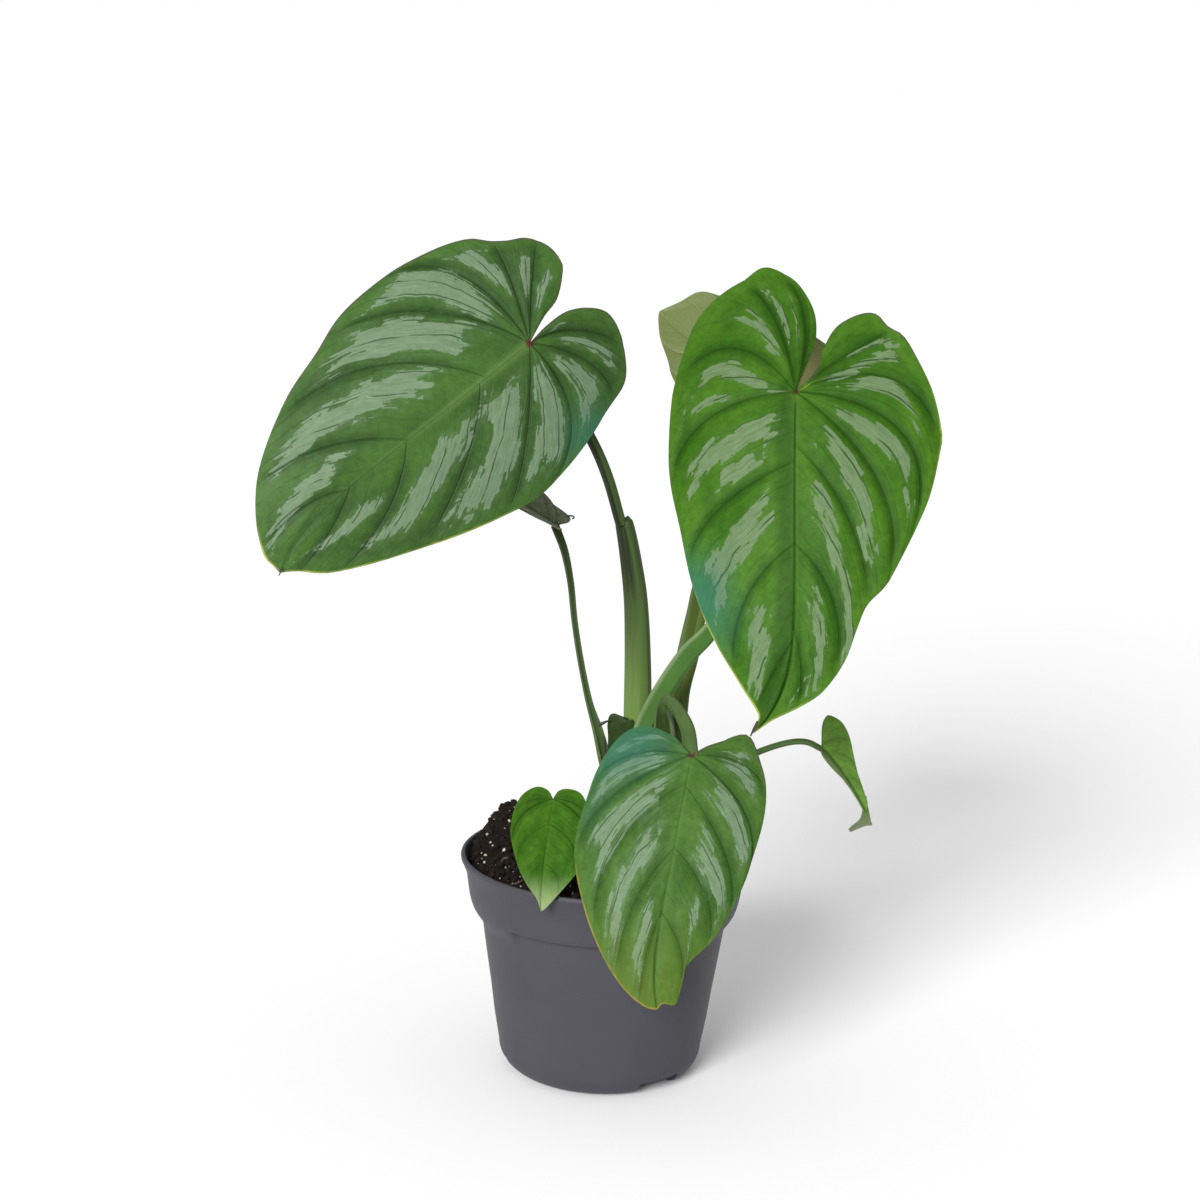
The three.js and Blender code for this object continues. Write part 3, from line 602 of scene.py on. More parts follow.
# One leaf blade. Flat sizes are across and along the blade from where the stalk joins it.
class Blade:
    # What a form may leave out
    hook = notch = 0
    tints = ()
    patches = pale = purple = ((), ())

    def __init__(self, form):
        self.__dict__.update(form)
        self.start = np.array(self.sinus, float)
        chord = np.array(self.tip, float) - self.start
        reach = np.linalg.norm(chord)
        chord /= reach
        face = np.array(self.faces, float)
        face -= face.dot(chord) * chord
        face /= np.linalg.norm(face)
        self.arc = math.radians(self.bend)
        half = self.arc / 2
        self.length = reach * half / math.sin(half)
        self.ahead = math.cos(half) * chord + math.sin(half) * face
        self.up = math.cos(half) * face - math.sin(half) * chord
        self.across = np.cross(self.ahead, self.up)
        self.edges = [self.edge_line(side) for side in (self.right, self.left)]
        right, left = (line[::RIM_STRIDE] for _, line in self.edges)
        self.rims = np.vstack([right, left * (-1, 1)])

    def edge_line(self, side):
        stops = [(0, 0), *side, (0, self.length)]
        line = through(stops, np.linspace(0, len(stops) - 1, EDGE_POINTS))
        step = np.linalg.norm(np.diff(line, axis=0), axis=1)
        along = np.concatenate([[0], np.cumsum(step)])
        return along / along[-1], line

    def midrib(self, y):
        k = np.abs(y) / self.length
        return np.where(y > 0, self.hook * (k - k ** 8), self.notch * y)

    def margin(self, side, share):
        along, line = self.edges[side]
        return np.stack([np.interp(share, along, line[:, k]) for k in (0, 1)], -1)

    # The line of a vein: where it leaves the midrib, where it meets the margin, arch and lean
    def vein_line(self, side, u, share):
        root, end, arch, lean = (smooth_table([v[k] for v in self.veins[side]], u)
                                 for k in range(4))
        y = root * self.length
        start = np.stack([SIGNS[side] * self.midrib(y), y], -1)
        stop = self.margin(side, end)
        way = stop - start
        bow = np.stack([way[..., 1], -way[..., 0]], -1)
        bend = start + way * (0.5 + lean)[..., None] + bow * arch[..., None]
        t = share[..., None]
        line = start * (1 - t) ** 2 + bend * 2 * t * (1 - t) + stop * t * t
        return line, np.linalg.norm(way, axis=-1), end

    def flat(self, side, u, share):
        point, size, end = self.vein_line(side, u, share)
        first = self.vein_line(side, np.zeros_like(u), share)[0]
        inner = self.margin(side, self.veins[side][0][1] * share)
        point = point + (inner - first) * np.clip(1 - u, 0, 1)[..., None]
        return point, size, end

    # Where a flat place comes to lie when the blade is bent, folded and curled
    def place(self, x, y, height):
        turn = self.arc * y / self.length
        radius = self.length / self.arc
        normal = np.cos(turn)[..., None] * self.up + np.sin(turn)[..., None] * self.ahead
        middle = self.midrib(y)
        fold = math.radians(self.fold)
        curl = math.radians(self.curl) / self.width
        slope = fold + curl * np.abs(x - middle)
        out = (np.sin(slope) - math.sin(fold)) / curl
        rise = (math.cos(fold) - np.cos(slope)) / curl
        return (self.start + radius * np.sin(turn)[..., None] * self.ahead
                - radius * (1 - np.cos(turn))[..., None] * self.up
                + (middle + np.where(x >= middle, out, -out))[..., None] * self.across
                + (rise + height)[..., None] * normal)

    # How far a place on the margin lies within the given stretches of it
    def marked(self, stretches, where):
        total = np.zeros_like(where)
        for low, high in stretches:
            begun = rising(where, low - STRETCH_START, low + STRETCH_START)
            total += begun * (1 - rising(where, high - STRETCH_END, high + STRETCH_END))
        return total

    # How deep a place lies within a patch of silver: over 0 inside one, -1 far from all
    def silver(self, side, u, share):
        field = np.full(u.shape, -1.0)
        for first, middle, last, low, high, half, strength in self.patches[side]:
            t = np.clip((share - low) / (high - low), 0, 1)
            centre = first + (4 * middle - 3 * first - last) * t + (
                2 * first + 2 * last - 4 * middle) * t * t
            ends = np.minimum((share - low) / PATCH_START, (high - share) / PATCH_END)
            beside = (half - np.abs(u - centre)) / half
            field = np.maximum(field, np.minimum(np.minimum(ends, beside), 1.0) + strength - 1)
        return field

    # One half of the blade: the points of its two layers and the facts of each place
    def half(self, side):
        bays = len(self.veins[side]) - 1
        u, share = np.meshgrid(np.linspace(0, bays, bays * ROWS_PER_BAY + 1), SHARES, indexing="ij")
        flat, size, end = self.flat(side, u, share)
        by_bay = np.gradient(flat, axis=0) * ROWS_PER_BAY
        by_share = unit(np.gradient(flat, axis=1), TINY)
        gauge = np.abs(by_bay[..., 0] * by_share[..., 1] - by_bay[..., 1] * by_share[..., 0])
        nearest = np.round(u)
        no_vein = (nearest == 0) | (nearest == bays)
        vein = np.where(no_vein, FAR_AWAY, np.abs(u - nearest) * gauge)
        x, y = SIGNS[side] * flat[..., 0], flat[..., 1]
        axis = x - self.midrib(y)
        away = np.hypot(x[..., None] - self.rims[:, 0], y[..., None] - self.rims[:, 1])
        taper = np.clip(1 - y / self.length, 0, 1)
        rib_half = RIB_HALF * self.sturdy * (0.2 + 0.8 * taper)
        rib = np.exp(-(axis / rib_half) ** 2) * (y > -1)

        swell = np.abs(np.sin(math.pi * u)) ** SWELL_POWER
        swell *= (np.minimum(1, 3.5 * share) * (1 - 0.45 * share ** 3)
                  * np.minimum(1, size / FULL_SWELL))
        top = self.relief * swell + self.rib_rise * rib
        ridge = np.exp(-(vein / RIDGE_HALF) ** 2) * (1 - share) * RIDGE_HEIGHT * self.sturdy
        thick = BLADE_THICK + (RIM_THICK - BLADE_THICK) * rising(share, 0.8, 1)
        keel = KEEL_DEPTH * self.sturdy * taper ** 0.7 * rib ** 0.7
        low = self.relief * swell - thick - keel - ridge

        tint = sum((amount * np.exp(-((x - tx) ** 2 + (y - ty) ** 2) / (2 * spread ** 2))
                    for tx, ty, spread, amount in self.tints), np.zeros_like(x))
        lobe = self.veins[side][0][1]
        where = np.where(u < 1, lobe * share * (1 - u) + end * u, end)
        facts = {"bay": u + side * SIDE_BAYS, "share": share, "patch": self.silver(side, u, share),
                 "vein": vein, "gauge": gauge, "rim": np.min(away, axis=-1), "rib": rib,
                 "axis": axis, "sinus": np.hypot(x, y), "along": y / self.length, "tint": tint,
                 "pale": self.marked(self.pale[side], where),
                 "purple": self.marked(self.purple[side], where)}
        return self.place(x, y, top), self.place(x, y, low), facts

    def build(self, name, materials, slot):
        points, faces, face_slots, facts = [], [], [], {}
        wide = len(SHARES)
        for side in (0, 1):
            upper, lower, known = self.half(side)
            rows, first = len(upper), len(points)
            count = rows * wide
            for skin, layer in enumerate((upper, lower)):
                made = grid_faces(len(points), rows, wide, flip=side != skin)
                points.extend(layer.reshape(-1, 3))
                note(facts, known)
                faces += made
                face_slots += [skin] * len(made)
            margin = (np.arange(rows), np.full(rows, wide - 1), upper[:, -1] - upper[:, -4])
            base = (np.zeros(wide, int), np.arange(wide), upper[0] - upper[4])
            for number, (row, column, outward) in enumerate((margin, base)):
                start = len(points)
                middle = (upper[row, column] + lower[row, column]) / 2
                points.extend(middle + unit(outward, TINY) * RIM_THICK * RIM_BULGE)
                note(facts, {key: values[row, column] for key, values in known.items()})
                border = (first + row * wide + column).tolist()
                turned = (side == 1) != (number == 1)
                for k, (a, b) in enumerate(zip(border, border[1:]), start):
                    pair = [(a, k, k + 1, b), (k, a + count, b + count, k + 1)]
                    faces += [quad[::-1] for quad in pair] if turned else pair
                    face_slots += [0, 1]
        add_piece(name + "_blade", points, faces, materials, slot, [name], facts, face_slots)


# Veins for a small leaf: a fan from the sinus, then evenly along the midrib
def fan_veins(count, lobe):
    veins = [(0, lobe, 0, 0)]
    for k in range(1, count):
        share = k / count
        root = max(0, (share - FAN_SHARE) / (1 - FAN_SHARE)) ** 1.3
        veins.append((root, lobe + (1 - lobe) * share ** 0.75, FAN_ARCH, FAN_LEAN))
    return veins + [(1, 1, 0, 0)]


# Each leaf: where its blade starts and ends, the way it faces, its bend, fold, curl and margins
# Each vein: where it leaves the midrib, where it meets the margin, its arch and its lean
# Each patch of silver: its bay at start, middle and end, its two ends, half its width, strength
# Each tint: its place across and along the blade, its spread and its share
LEAVES = {
    "leaf_left": {
        "sinus": (-36, -22, 305), "tip": (-127, -64, 220), "faces": (0.3, -1, 0.22),
        "bend": 22, "fold": -6, "curl": -14, "width": 55, "hook": 10, "notch": -0.15,
        "relief": 1.25, "sturdy": 1, "rib_rise": 0.2,
        "right": [(3.5, -12), (5.2, -22), (11.6, -32), (15, -34.4), (20.5, -35.4), (26, -34.1),
                  (31.1, -30.4), (35, -24.2), (40, -18.7), (45.4, -14.1), (50.6, -4.4), (54.5, 8),
                  (57, 20), (58.1, 37), (57.1, 50), (52.8, 65), (48.7, 82), (42.8, 96.4), (36, 109),
                  (29, 118), (19.3, 126.4), (9.3, 131.9), (3, 132.1)],
        "left": [(-0.4, -10), (1, -21), (5.6, -29.5), (12.9, -36), (22.3, -36), (31, -32),
                 (39.3, -24.2), (42.4, -9.2), (45.6, 4.2), (48, 20), (48.4, 36), (43.5, 54),
                 (37.2, 71), (30, 87), (20.9, 105.5), (12.7, 118.8), (4, 127)],
        "veins": [
            [(0, 0.1, 0, 0), (0, 0.202, -0.04, 0.08), (0, 0.275, 0.06, 0.24),
             (0, 0.466, 0.45, 0.19), (0, 0.608, 0.3, 0.06), (0.17, 0.762, 0.32, 0.01),
             (0.47, 0.861, 0.22, 0.04), (0.704, 0.955, 0.2, -0.14), (1, 1, 0, 0)],
            [(0, 0.1, 0, 0), (0, 0.231, 0.24, -0.02), (0, 0.327, 0.28, 0.17),
             (0, 0.506, 0.42, 0.09), (0, 0.609, 0.1, 0.15), (0.199, 0.759, 0.13, -0.15),
             (0.476, 0.9, 0.2, -0.06), (0.685, 0.965, 0.1, -0.09), (1, 1, 0, 0)]],
        "patches": [
            [(0.73, 0.7, 0.6, 0.31, 0.82, 0.13, 0.7), (1.3, 1.38, 1.4, 0.34, 0.78, 0.3, 0.85),
             (2.33, 2.45, 2.48, 0.31, 0.81, 0.25, 0.9), (3.6, 3.4, 3.53, 0.17, 0.81, 0.32, 1),
             (4.53, 4.5, 4.55, 0.19, 0.82, 0.35, 1), (5.23, 5.55, 5.83, 0.18, 0.87, 0.29, 1),
             (6.53, 6.62, 7.1, 0.31, 0.9, 0.29, 1)],
            [(1.07, 0.7, 0.83, 0.14, 0.52, 0.17, 0.6), (1.48, 1.48, 1.58, 0.25, 0.82, 0.25, 0.9),
             (2.5, 2.38, 2.43, 0.19, 0.77, 0.27, 0.9), (3.62, 3.5, 3.62, 0.13, 0.75, 0.29, 1),
             (4.6, 4.48, 4.73, 0.12, 0.9, 0.29, 1), (5.23, 5.48, 5.78, 0.19, 0.85, 0.32, 1),
             (6.43, 6.68, 7.3, 0.35, 0.8, 0.27, 0.9)]],
        "tints": [(-47, 2, 9, 0.9)], "pale": [[(0.93, 1.1)], [(0.6, 1.1)]],
        "purple": [[(-0.1, 0.7)], [(0.0, 0.35)]],
    },
    "leaf_right": {
        "sinus": (66, -42, 292), "tip": (53, -86, 169), "faces": (-0.25, -1, 0.35),
        "bend": 20, "fold": -6, "curl": -14, "width": 55, "hook": -17, "notch": 0.33,
        "relief": 1.25, "sturdy": 1, "rib_rise": -0.25,
        "right": [(-3.6, -16), (-4.4, -24), (-1.6, -35.8), (6.8, -48.3), (16, -55.6), (24, -58.2),
                  (30.5, -53.4), (37, -49), (43, -43), (48, -34), (50, -22), (51.1, -4), (50, 16),
                  (46.9, 36), (39.2, 57), (33.2, 74), (25.7, 89.2), (16.8, 102.5), (6.5, 115),
                  (0.1, 122.6), (-1.5, 126)],
        "left": [(4.4, -3.6), (7.2, -11.4), (8.5, -20.6), (12, -28.9), (20, -35.1), (26, -36.1),
                 (31, -32), (37.2, -29.3), (44.3, -20.3), (52.1, -8), (57.2, 6), (57.7, 13),
                 (56, 33), (51, 51), (44, 70), (37.4, 79.2), (34.5, 89), (31.4, 101.2),
                 (24.5, 113.4), (16.2, 120.3), (7, 126)],
        "veins": [
            [(0, 0.12, 0, 0), (0, 0.211, 0.23, 0.01), (0, 0.282, 0.15, 0.04),
             (0, 0.471, 0.62, 0.2), (0, 0.622, 0.4, 0.13), (0.21, 0.744, 0.24, 0.17),
             (0.451, 0.906, 0.28, 0.01), (0.732, 0.965, 0.05, -0.17), (1, 1, 0, 0)],
            [(0, 0.12, 0, 0), (0, 0.232, 0.04, 0.15), (0, 0.434, 0.58, 0.12),
             (0, 0.596, 0.62, 0.06), (0, 0.678, 0.32, 0.11), (0.161, 0.722, 0.19, -0.01),
             (0.45, 0.843, 0.28, -0.03), (0.686, 0.922, 0.15, 0.02), (1, 1, 0, 0)]],
        "patches": [
            [(1.43, 1.45, 1.38, 0.26, 0.7, 0.08, 0.7), (1.9, 1.8, 1.88, 0.31, 0.82, 0.09, 0.8),
             (2.62, 2.48, 2.48, 0.26, 0.7, 0.18, 0.9), (3.78, 3.35, 3.43, 0.1, 0.68, 0.13, 1),
             (3.95, 3.75, 3.68, 0.27, 0.76, 0.08, 0.9), (4.5, 4.45, 4.45, 0.14, 0.73, 0.13, 1),
             (4.75, 4.78, 4.75, 0.2, 0.52, 0.09, 0.95), (5.3, 5.48, 5.45, 0.12, 0.8, 0.18, 1),
             (6.25, 6.53, 6.7, 0.38, 0.9, 0.22, 1)],
            [(0.98, 1.1, 1.07, 0.32, 0.91, 0.08, 0.7), (2.08, 1.5, 1.38, 0.15, 0.86, 0.16, 0.8),
             (2.48, 2.2, 2.43, 0.2, 0.64, 0.16, 0.95), (3.53, 3.4, 3.43, 0.15, 0.74, 0.18, 1),
             (4.5, 4.55, 4.75, 0.18, 0.78, 0.22, 1), (5.33, 5.6, 5.73, 0.2, 0.97, 0.2, 1),
             (6.33, 6.5, 6.65, 0.24, 0.9, 0.18, 1), (6.8, 7.03, 7.25, 0.62, 0.86, 0.09, 0.9)]],
        "tints": [(31, 80, 9, 0.9), (22, 92, 8, 0.5)],
        "pale": [[(0.8, 1.1)], [(0.38, 0.5), (0.92, 1.1)]], "purple": [[], [(0.1, 0.3)]],
    },
    "leaf_back": {
        "sinus": (90, 26, 261), "tip": (15, 40, 313), "faces": (-0.1, 1, 0.25),
        "bend": 16, "fold": 8, "curl": -10, "width": 30, "hook": 3,
        "relief": 0.7, "sturdy": 0.8, "rib_rise": 0.1,
        "right": [(4, -8), (11, -15), (20, -16), (28, -8), (31, 8), (31, 30), (27, 52), (21, 70),
                  (15, 78), (9, 86), (3, 91)],
        "left": [(4, -8), (11, -15), (20, -16), (27, -8), (30, 10), (30, 34), (27, 56), (20, 76),
                 (16, 84), (8, 88), (3, 91)],
        # Its tint is painted light: a lighter patch on both sides where leaf_right's shadow falls
        "veins": [fan_veins(8, 0.14)] * 2, "tints": [(-13, 28, 8, 0.6)],
    },
    "leaf_front": {
        "sinus": (32, -44, 148), "tip": (21, -90, 60), "faces": (-0.05, -1, 0.45),
        "bend": 22, "fold": -6, "curl": -14, "width": 38, "hook": 5,
        "relief": 0.95, "sturdy": 0.8, "rib_rise": -0.2,
        "right": [(4, -4), (9, -8), (18, -11.2), (26, -9.6), (32.5, -2.4), (37.3, 9), (39.4, 19.6),
                  (41.7, 35), (40.5, 48), (34.6, 64.2), (28, 77), (20.6, 87.5), (12.6, 95.6),
                  (5, 100)],
        "left": [(4, -3), (9, -6), (15, -11), (22, -13), (27.8, -3), (31.4, 7), (32, 21),
                 (29.2, 39), (25.8, 53.2), (22.1, 63), (17.4, 72.2), (9.4, 82.2), (7.6, 90),
                 (6.9, 97.5), (2, 98)],
        "veins": [
            [(0, 0.12, 0, 0), (0, 0.354, 0.34, 0.1), (0, 0.548, 0.27, 0.17),
             (0.118, 0.773, 0.34, 0.03), (0.39, 0.873, 0.19, -0.06), (0.637, 0.954, 0.09, -0.08),
             (1, 1, 0, 0)],
            [(0, 0.12, 0, 0), (0, 0.321, 0.34, 0.13), (0, 0.572, 0.4, 0.15),
             (0.126, 0.677, 0.24, 0.21), (0.373, 0.773, 0.29, 0.17), (0.637, 0.94, 0.29, -0.01),
             (1, 1, 0, 0)]],
        "patches": [
            [(0.2, 0.58, 0.7, 0.36, 0.87, 0.23, 0.6), (1.6, 1.38, 1.53, 0.17, 0.7, 0.3, 0.95),
             (2.75, 2.66, 2.58, 0.15, 0.66, 0.32, 1), (3.48, 3.6, 3.68, 0.16, 0.88, 0.21, 1),
             (4.53, 4.6, 4.8, 0.28, 0.86, 0.26, 0.95)],
            [(0.9, 0.8, 0.6, 0.3, 0.82, 0.12, 0.6), (1.28, 1.28, 1.38, 0.25, 0.7, 0.23, 0.9),
             (2.43, 2.43, 2.48, 0.19, 0.7, 0.23, 1), (3.6, 3.58, 3.62, 0.2, 0.75, 0.26, 1),
             (4.23, 4.45, 4.75, 0.36, 0.7, 0.18, 0.95)]],
        "tints": [(20, -7, 9, 0.7), (34, 2, 9, 0.7), (39, 25, 6, 0.3)],
        "pale": [[(0.6, 1.1)], [(0.98, 1.1)]], "purple": [[], [(0.1, 0.3)]],
    },
    "leaf_small": {
        "sinus": (-22, -30, 124), "tip": (-25, -62, 88), "faces": (-0.1, -1, 0.5),
        "bend": 20, "fold": 6, "curl": -10, "width": 15, "hook": 1,
        "relief": 0.35, "sturdy": 0.4, "rib_rise": -0.1,
        "right": [(2.5, -4), (7, -5.2), (11.7, -1.8), (14.3, 3.8), (15.3, 11), (14.7, 19),
                  (10.5, 31.2), (6.3, 38.3), (2, 43.6)],
        "left": [(2, -4), (6, -5), (11, -3), (14, 3), (16, 14), (15, 25), (13, 32), (6, 42),
                 (2, 47)],
        "veins": [fan_veins(5, 0.12)] * 2,
    },
    "leaf_hanging": {
        "sinus": (86.5, -9.5, 143.3), "tip": (105.3, -12, 116.8), "faces": (0.63, -0.65, 0.43),
        "bend": 26, "fold": 37, "curl": -10, "width": 13,
        "relief": 0.2, "sturdy": 0.3, "rib_rise": -0.05,
        "right": [(3, 0.4), (7, 0.8), (10, 2.4), (11, 5.5), (9.8, 10), (6.8, 15), (4.4, 20.5),
                  (3, 26), (2.2, 30)],
        "left": [(2.2, -2.2), (5.6, -5.4), (8.9, -7.2), (11.3, -7), (13, -2), (11.4, 4), (7.6, 11),
                 (4.7, 18), (3, 26), (2.4, 30)],
        "veins": [fan_veins(4, 0.16), fan_veins(4, 0.2)],
        "tints": [(8, 5, 2.4, 0.9), (7, 10, 2.2, 0.9), (5, 15, 2, 0.8), (3.6, 20, 1.6, 0.6)],
    },
    "leaf_folded": {
        "sinus": (-24.5, 25, 225.2), "tip": (-61, 34, 242.6), "faces": (0.38, -0.59, 0.71),
        "bend": 8, "fold": 37, "curl": -10, "width": 13,
        "relief": 0.2, "sturdy": 0.4, "rib_rise": -0.05,
        "right": [(1.6, -1.4), (3.7, -3.4), (5.3, -3.4), (6.2, 0), (6.6, 5.5), (7.4, 11), (8.6, 19),
                  (8, 28), (4.6, 37)],
        "left": [(2.2, -2.6), (4.4, -3.2), (6.2, -1), (7.2, 5), (8.2, 13), (8.8, 20), (7.6, 29),
                 (4, 37)],
        "veins": [fan_veins(4, 0.1), fan_veins(4, 0.08)],
        "tints": [(-5, 3, 2.6, 0.9), (-6, 8, 2.6, 0.9), (-7, 13, 2.6, 0.9), (-7, 19, 2.6, 0.7)],
    },
}

# Colours of the upper sides, the lower sides and the stalks
COOL = {"Green": (0.028, 0.069, 0.014), "Light green": (0.044, 0.105, 0.018),
        "Deep green": (0.012, 0.036, 0.007), "Silver": (0.14, 0.205, 0.125),
        "Silver shade": (0.105, 0.165, 0.085)}
BRIGHT = {"Green": (0.022, 0.08, 0.004), "Light green": (0.046, 0.124, 0.009),
          "Deep green": (0.008, 0.036, 0.002), "Silver": (0.12, 0.178, 0.09),
          "Silver shade": (0.088, 0.145, 0.06)}
# Shares in each face set how strong its painted shade along the veins and beside the midrib, and its
# painted light by the midrib, are
FACES = {
    "leaf_left": {**COOL, "Seed": 2.0, "Rib": (0.085, 0.16, 0.04), "Rib share": 0.75, "Crease": 0.35,
                  "Haze": 0.16, "Ragged": 0.6, "Vein share": 0.45, "Slit": 0.9,
                  "Joint": (0.07, 0.014, 0.009), "Joint size": 1.5},
    # leaf_right: painted shade beside its midrib and painted light on the midrib's other wall
    "leaf_right": {**BRIGHT, "Seed": 11.0, "Rib share": 0.1, "Painted light share": 0.35, "Haze": 0.1,
                   "Ragged": 1.0, "Slit": 1.3, "Crease": 0.8, "Vein share": 0.35, "Vein hollow shade": 0.6,
                   "Midrib shade": 0.5, "Joint": (0.05, 0.025, 0.01)},
    "leaf_front": {**COOL, "Green": (0.034, 0.085, 0.014), "Light green": (0.054, 0.122, 0.022),
                   "Deep green": (0.016, 0.05, 0.007), "Seed": 23.0, "Rib share": 0.1,
                   "Painted light share": 0.5, "Haze": 0.3, "Ragged": 0.8, "Slit": 0.8, "Vein share": 0.18,
                   "Crease": 0.35, "Tip": (0.09, 0.13, 0.012),
                   "Tip share": 0.45, "Margin": (0.22, 0.17, 0.03)},
    "leaf_back": {"Green": (0.06, 0.13, 0.03), "Light green": (0.08, 0.15, 0.04), "Seed": 31.0,
                  "Tint": (0.07, 0.14, 0.035)},
    "leaf_small": {**BRIGHT, "Seed": 41.0, "Silver share": 0.0, "Tip": (0.22, 0.29, 0.13),
                   "Tip share": 0.9, "Tip start": 0.66, "Vein share": 0.12, "Rib share": 0.1,
                   "Joint share": 0.0, "Vein hollow shade": 0.25, "Crease": 0.3},
    "leaf_hanging": {"Green": (0.08, 0.17, 0.025), "Light green": (0.105, 0.21, 0.035),
                     "Deep green": (0.04, 0.09, 0.015), "Seed": 53.0, "Silver share": 0.0,
                     "Vein share": 0.2, "Vein hollow shade": 0.25, "Joint share": 0.0, "Rib share": 0.0,
                     "Tint": (0.26, 0.32, 0.16), "Crease": 0.6},
    # leaf_folded: greens paler than its own colour, painted light that makes up for leaf_left's
    # shadow on it
    "leaf_folded": {"Green": (0.15, 0.18, 0.11), "Light green": (0.2, 0.23, 0.15),
                    "Deep green": (0.07, 0.095, 0.045), "Seed": 61.0, "Silver share": 0.0,
                    "Vein share": 0.1, "Vein hollow shade": 0.2, "Joint share": 0.0, "Rib share": 0.0,
                    "Tint": (0.3, 0.33, 0.22), "Crease": 0.4},
}
BACKS = {
    "leaf_back": {"Green": (0.1, 0.132, 0.035), "Light green": (0.12, 0.155, 0.045),
                  "Rib": (0.15, 0.18, 0.065), "Margin": (0.13, 0.16, 0.055), "Seed": 3.0,
                  # Painted light: the beige tint lightens the patch in leaf_right's shadow
                  "Tint": (0.55, 0.48, 0.22)},
}

# Each stalk: its leaf, the way its groove faces, its path, and its width, depth and wing by stop
STALKS = {
    "stalk_left": {
        "leaf": "leaf_left", "groove": (0.5, 0.8, 0.1),
        "path": [(8, 13, 97), (9.6, 13, 117), (10.6, 13, 137), (10.8, 13, 155), (10, 12, 176),
                 (8.6, 11, 197), (5.8, 9, 215), (2.8, 6.6, 229.2), (1.5, 5.8, 231), (-4, 2, 249),
                 (-11, -3, 265), (-23, -9, 285), (-32, -14, 298)],
        "wide": [9, 10, 11, 11.8, 11, 10.2, 8.8, 7.2, 4.9, 4.9, 4.8, 4.5, 4.1, 3.9],
        "deep": [6, 6.5, 6.5, 6.5, 6, 5.5, 5, 4.4, 4, 4, 3.7, 3.6, 3.5, 3.4],
        "wing": [2, 3, 3.5, 3.5, 3.5, 3, 3, 3, 1, 1, 1, 1, 1, 1],
    },
    "stalk_right": {
        "leaf": "leaf_right", "groove": (-0.5, -0.8, 0.45),
        "path": [(8.5, -5, 97), (9, -5, 117), (10, -6, 134), (14, -7, 149), (21, -10, 165),
                 (30, -14, 181), (38, -17, 191), (50, -21, 210), (61, -24, 235), (66, -28, 264),
                 (68, -33, 284)],
        "wide": [7, 7.2, 8, 8.8, 9, 8.6, 7.6, 6.2, 4.8, 4.2, 4, 4],
        "deep": [6, 6, 6, 6.4, 6.4, 6, 5.4, 4.6, 4, 3.8, 3.6, 3.6],
        "wing": [1.4, 1.5, 1.4, 1.2, 1.2, 1.2, 1.1, 1, 1, 1, 1, 1],
    },
    "stalk_back": {
        "leaf": "leaf_back", "groove": (-0.8, -0.4, 0.3),
        "path": [(22, 10, 97), (25, 11, 122), (28, 12, 143), (29, 15, 159), (32, 18, 173),
                 (35, 22, 190), (38, 25, 206), (49, 27, 231), (67, 26, 252), (82, 23, 260)],
        "wide": [8, 9, 10, 11.6, 12, 11.4, 9.6, 6.4, 4.5, 4, 3.6],
        "deep": [5, 6, 6, 6, 6, 5, 4.5, 4, 3.6, 3.5, 3.4],
        "wing": [1.5, 2, 3, 3, 3, 2.5, 2, 1, 1, 1, 1],
    },
    "stalk_front": {
        "leaf": "leaf_front", "groove": (-0.35, -0.8, 0.45),
        "path": [(21, -6, 97), (22, -6.5, 119), (22.8, -8.5, 135), (22.4, -11.5, 147),
                 (21.6, -15.8, 158), (22.8, -20.8, 163.8), (27, -28.6, 161.2),
                 (30.6, -35.5, 155.5)],
        "wide": [5, 6, 8.2, 9, 6.6, 4.6, 5.2, 6, 6.4],
        "deep": [5, 5, 4.4, 4.2, 4.2, 4.4, 4, 3.6, 3],
        "wing": [1.2, 1.4, 2, 2.2, 1.6, 1.2, 1.2, 1.2, 1],
    },
    "stalk_small": {
        "leaf": "leaf_small", "groove": (0.2, -0.3, 1),
        "path": [(1, -5, 97), (1.5, -9, 107), (-2, -14, 113), (-9, -20, 117), (-16, -25, 120)],
        "wide": [3.4, 3.4, 3.2, 3, 2.8, 2.6],
        "deep": [3.4, 3.4, 3.2, 3, 2.8, 2.6],
        "wing": [1, 1, 0.8, 0.8, 0.8, 0.8],
    },
    "stalk_hanging": {
        "leaf": "leaf_hanging", "groove": (-0.2, -0.2, 1),
        "path": [(27, 2, 97), (30, 2, 107), (36, 1, 117), (46, -2, 130), (60, -6, 139),
                 (72, -7.6, 144), (80, -8.8, 145)],
        "wide": [3.6, 3.4, 3.2, 3, 2.8, 2.6, 2.6, 2.6],
        "deep": [3.6, 3.4, 3.2, 3, 2.8, 2.6, 2.6, 2.4],
        "wing": [1, 1, 0.8, 0.8, 0.8, 0.8, 0.8, 0.8],
    },
    "stalk_folded": {
        "leaf": "leaf_folded", "groove": (0.6, -0.8, 0),
        "path": [(0, 5, 97), (1, 7, 119), (-2, 9, 131), (-5, 10, 142), (-9, 12, 154),
                 (-13, 14, 171), (-16, 17, 187), (-18, 19, 202), (-21, 21, 215)],
        "wide": [6.2, 6.3, 5.8, 4.6, 3, 2.7, 2.7, 2.9, 3.4, 3.8],
        "deep": [4.4, 4.4, 4, 3.4, 3, 2.8, 2.6, 2.7, 3, 3],
        "wing": [1.4, 1.4, 1.4, 1.1, 0.8, 0.7, 0.7, 0.7, 0.8, 0.9],
    },
}
BRACT = {
    "groove": (0.2, 1, 0),
    "path": [(7, 3.5, 97), (6, 3, 115), (4.8, 3, 129), (5, 3, 140), (4.6, 3, 146), (4.2, 3.2, 148.6),
             (4.6, 3.2, 150.2)],
    "wide": [6, 7, 10, 11.4, 11.6, 10.2, 6], "deep": [2.4, 2.2, 2, 2, 1.8, 1.6, 1.4],
    "wing": [1.2, 1.4, 1.6, 1.6, 1.2, 0.8, 0.7],
}
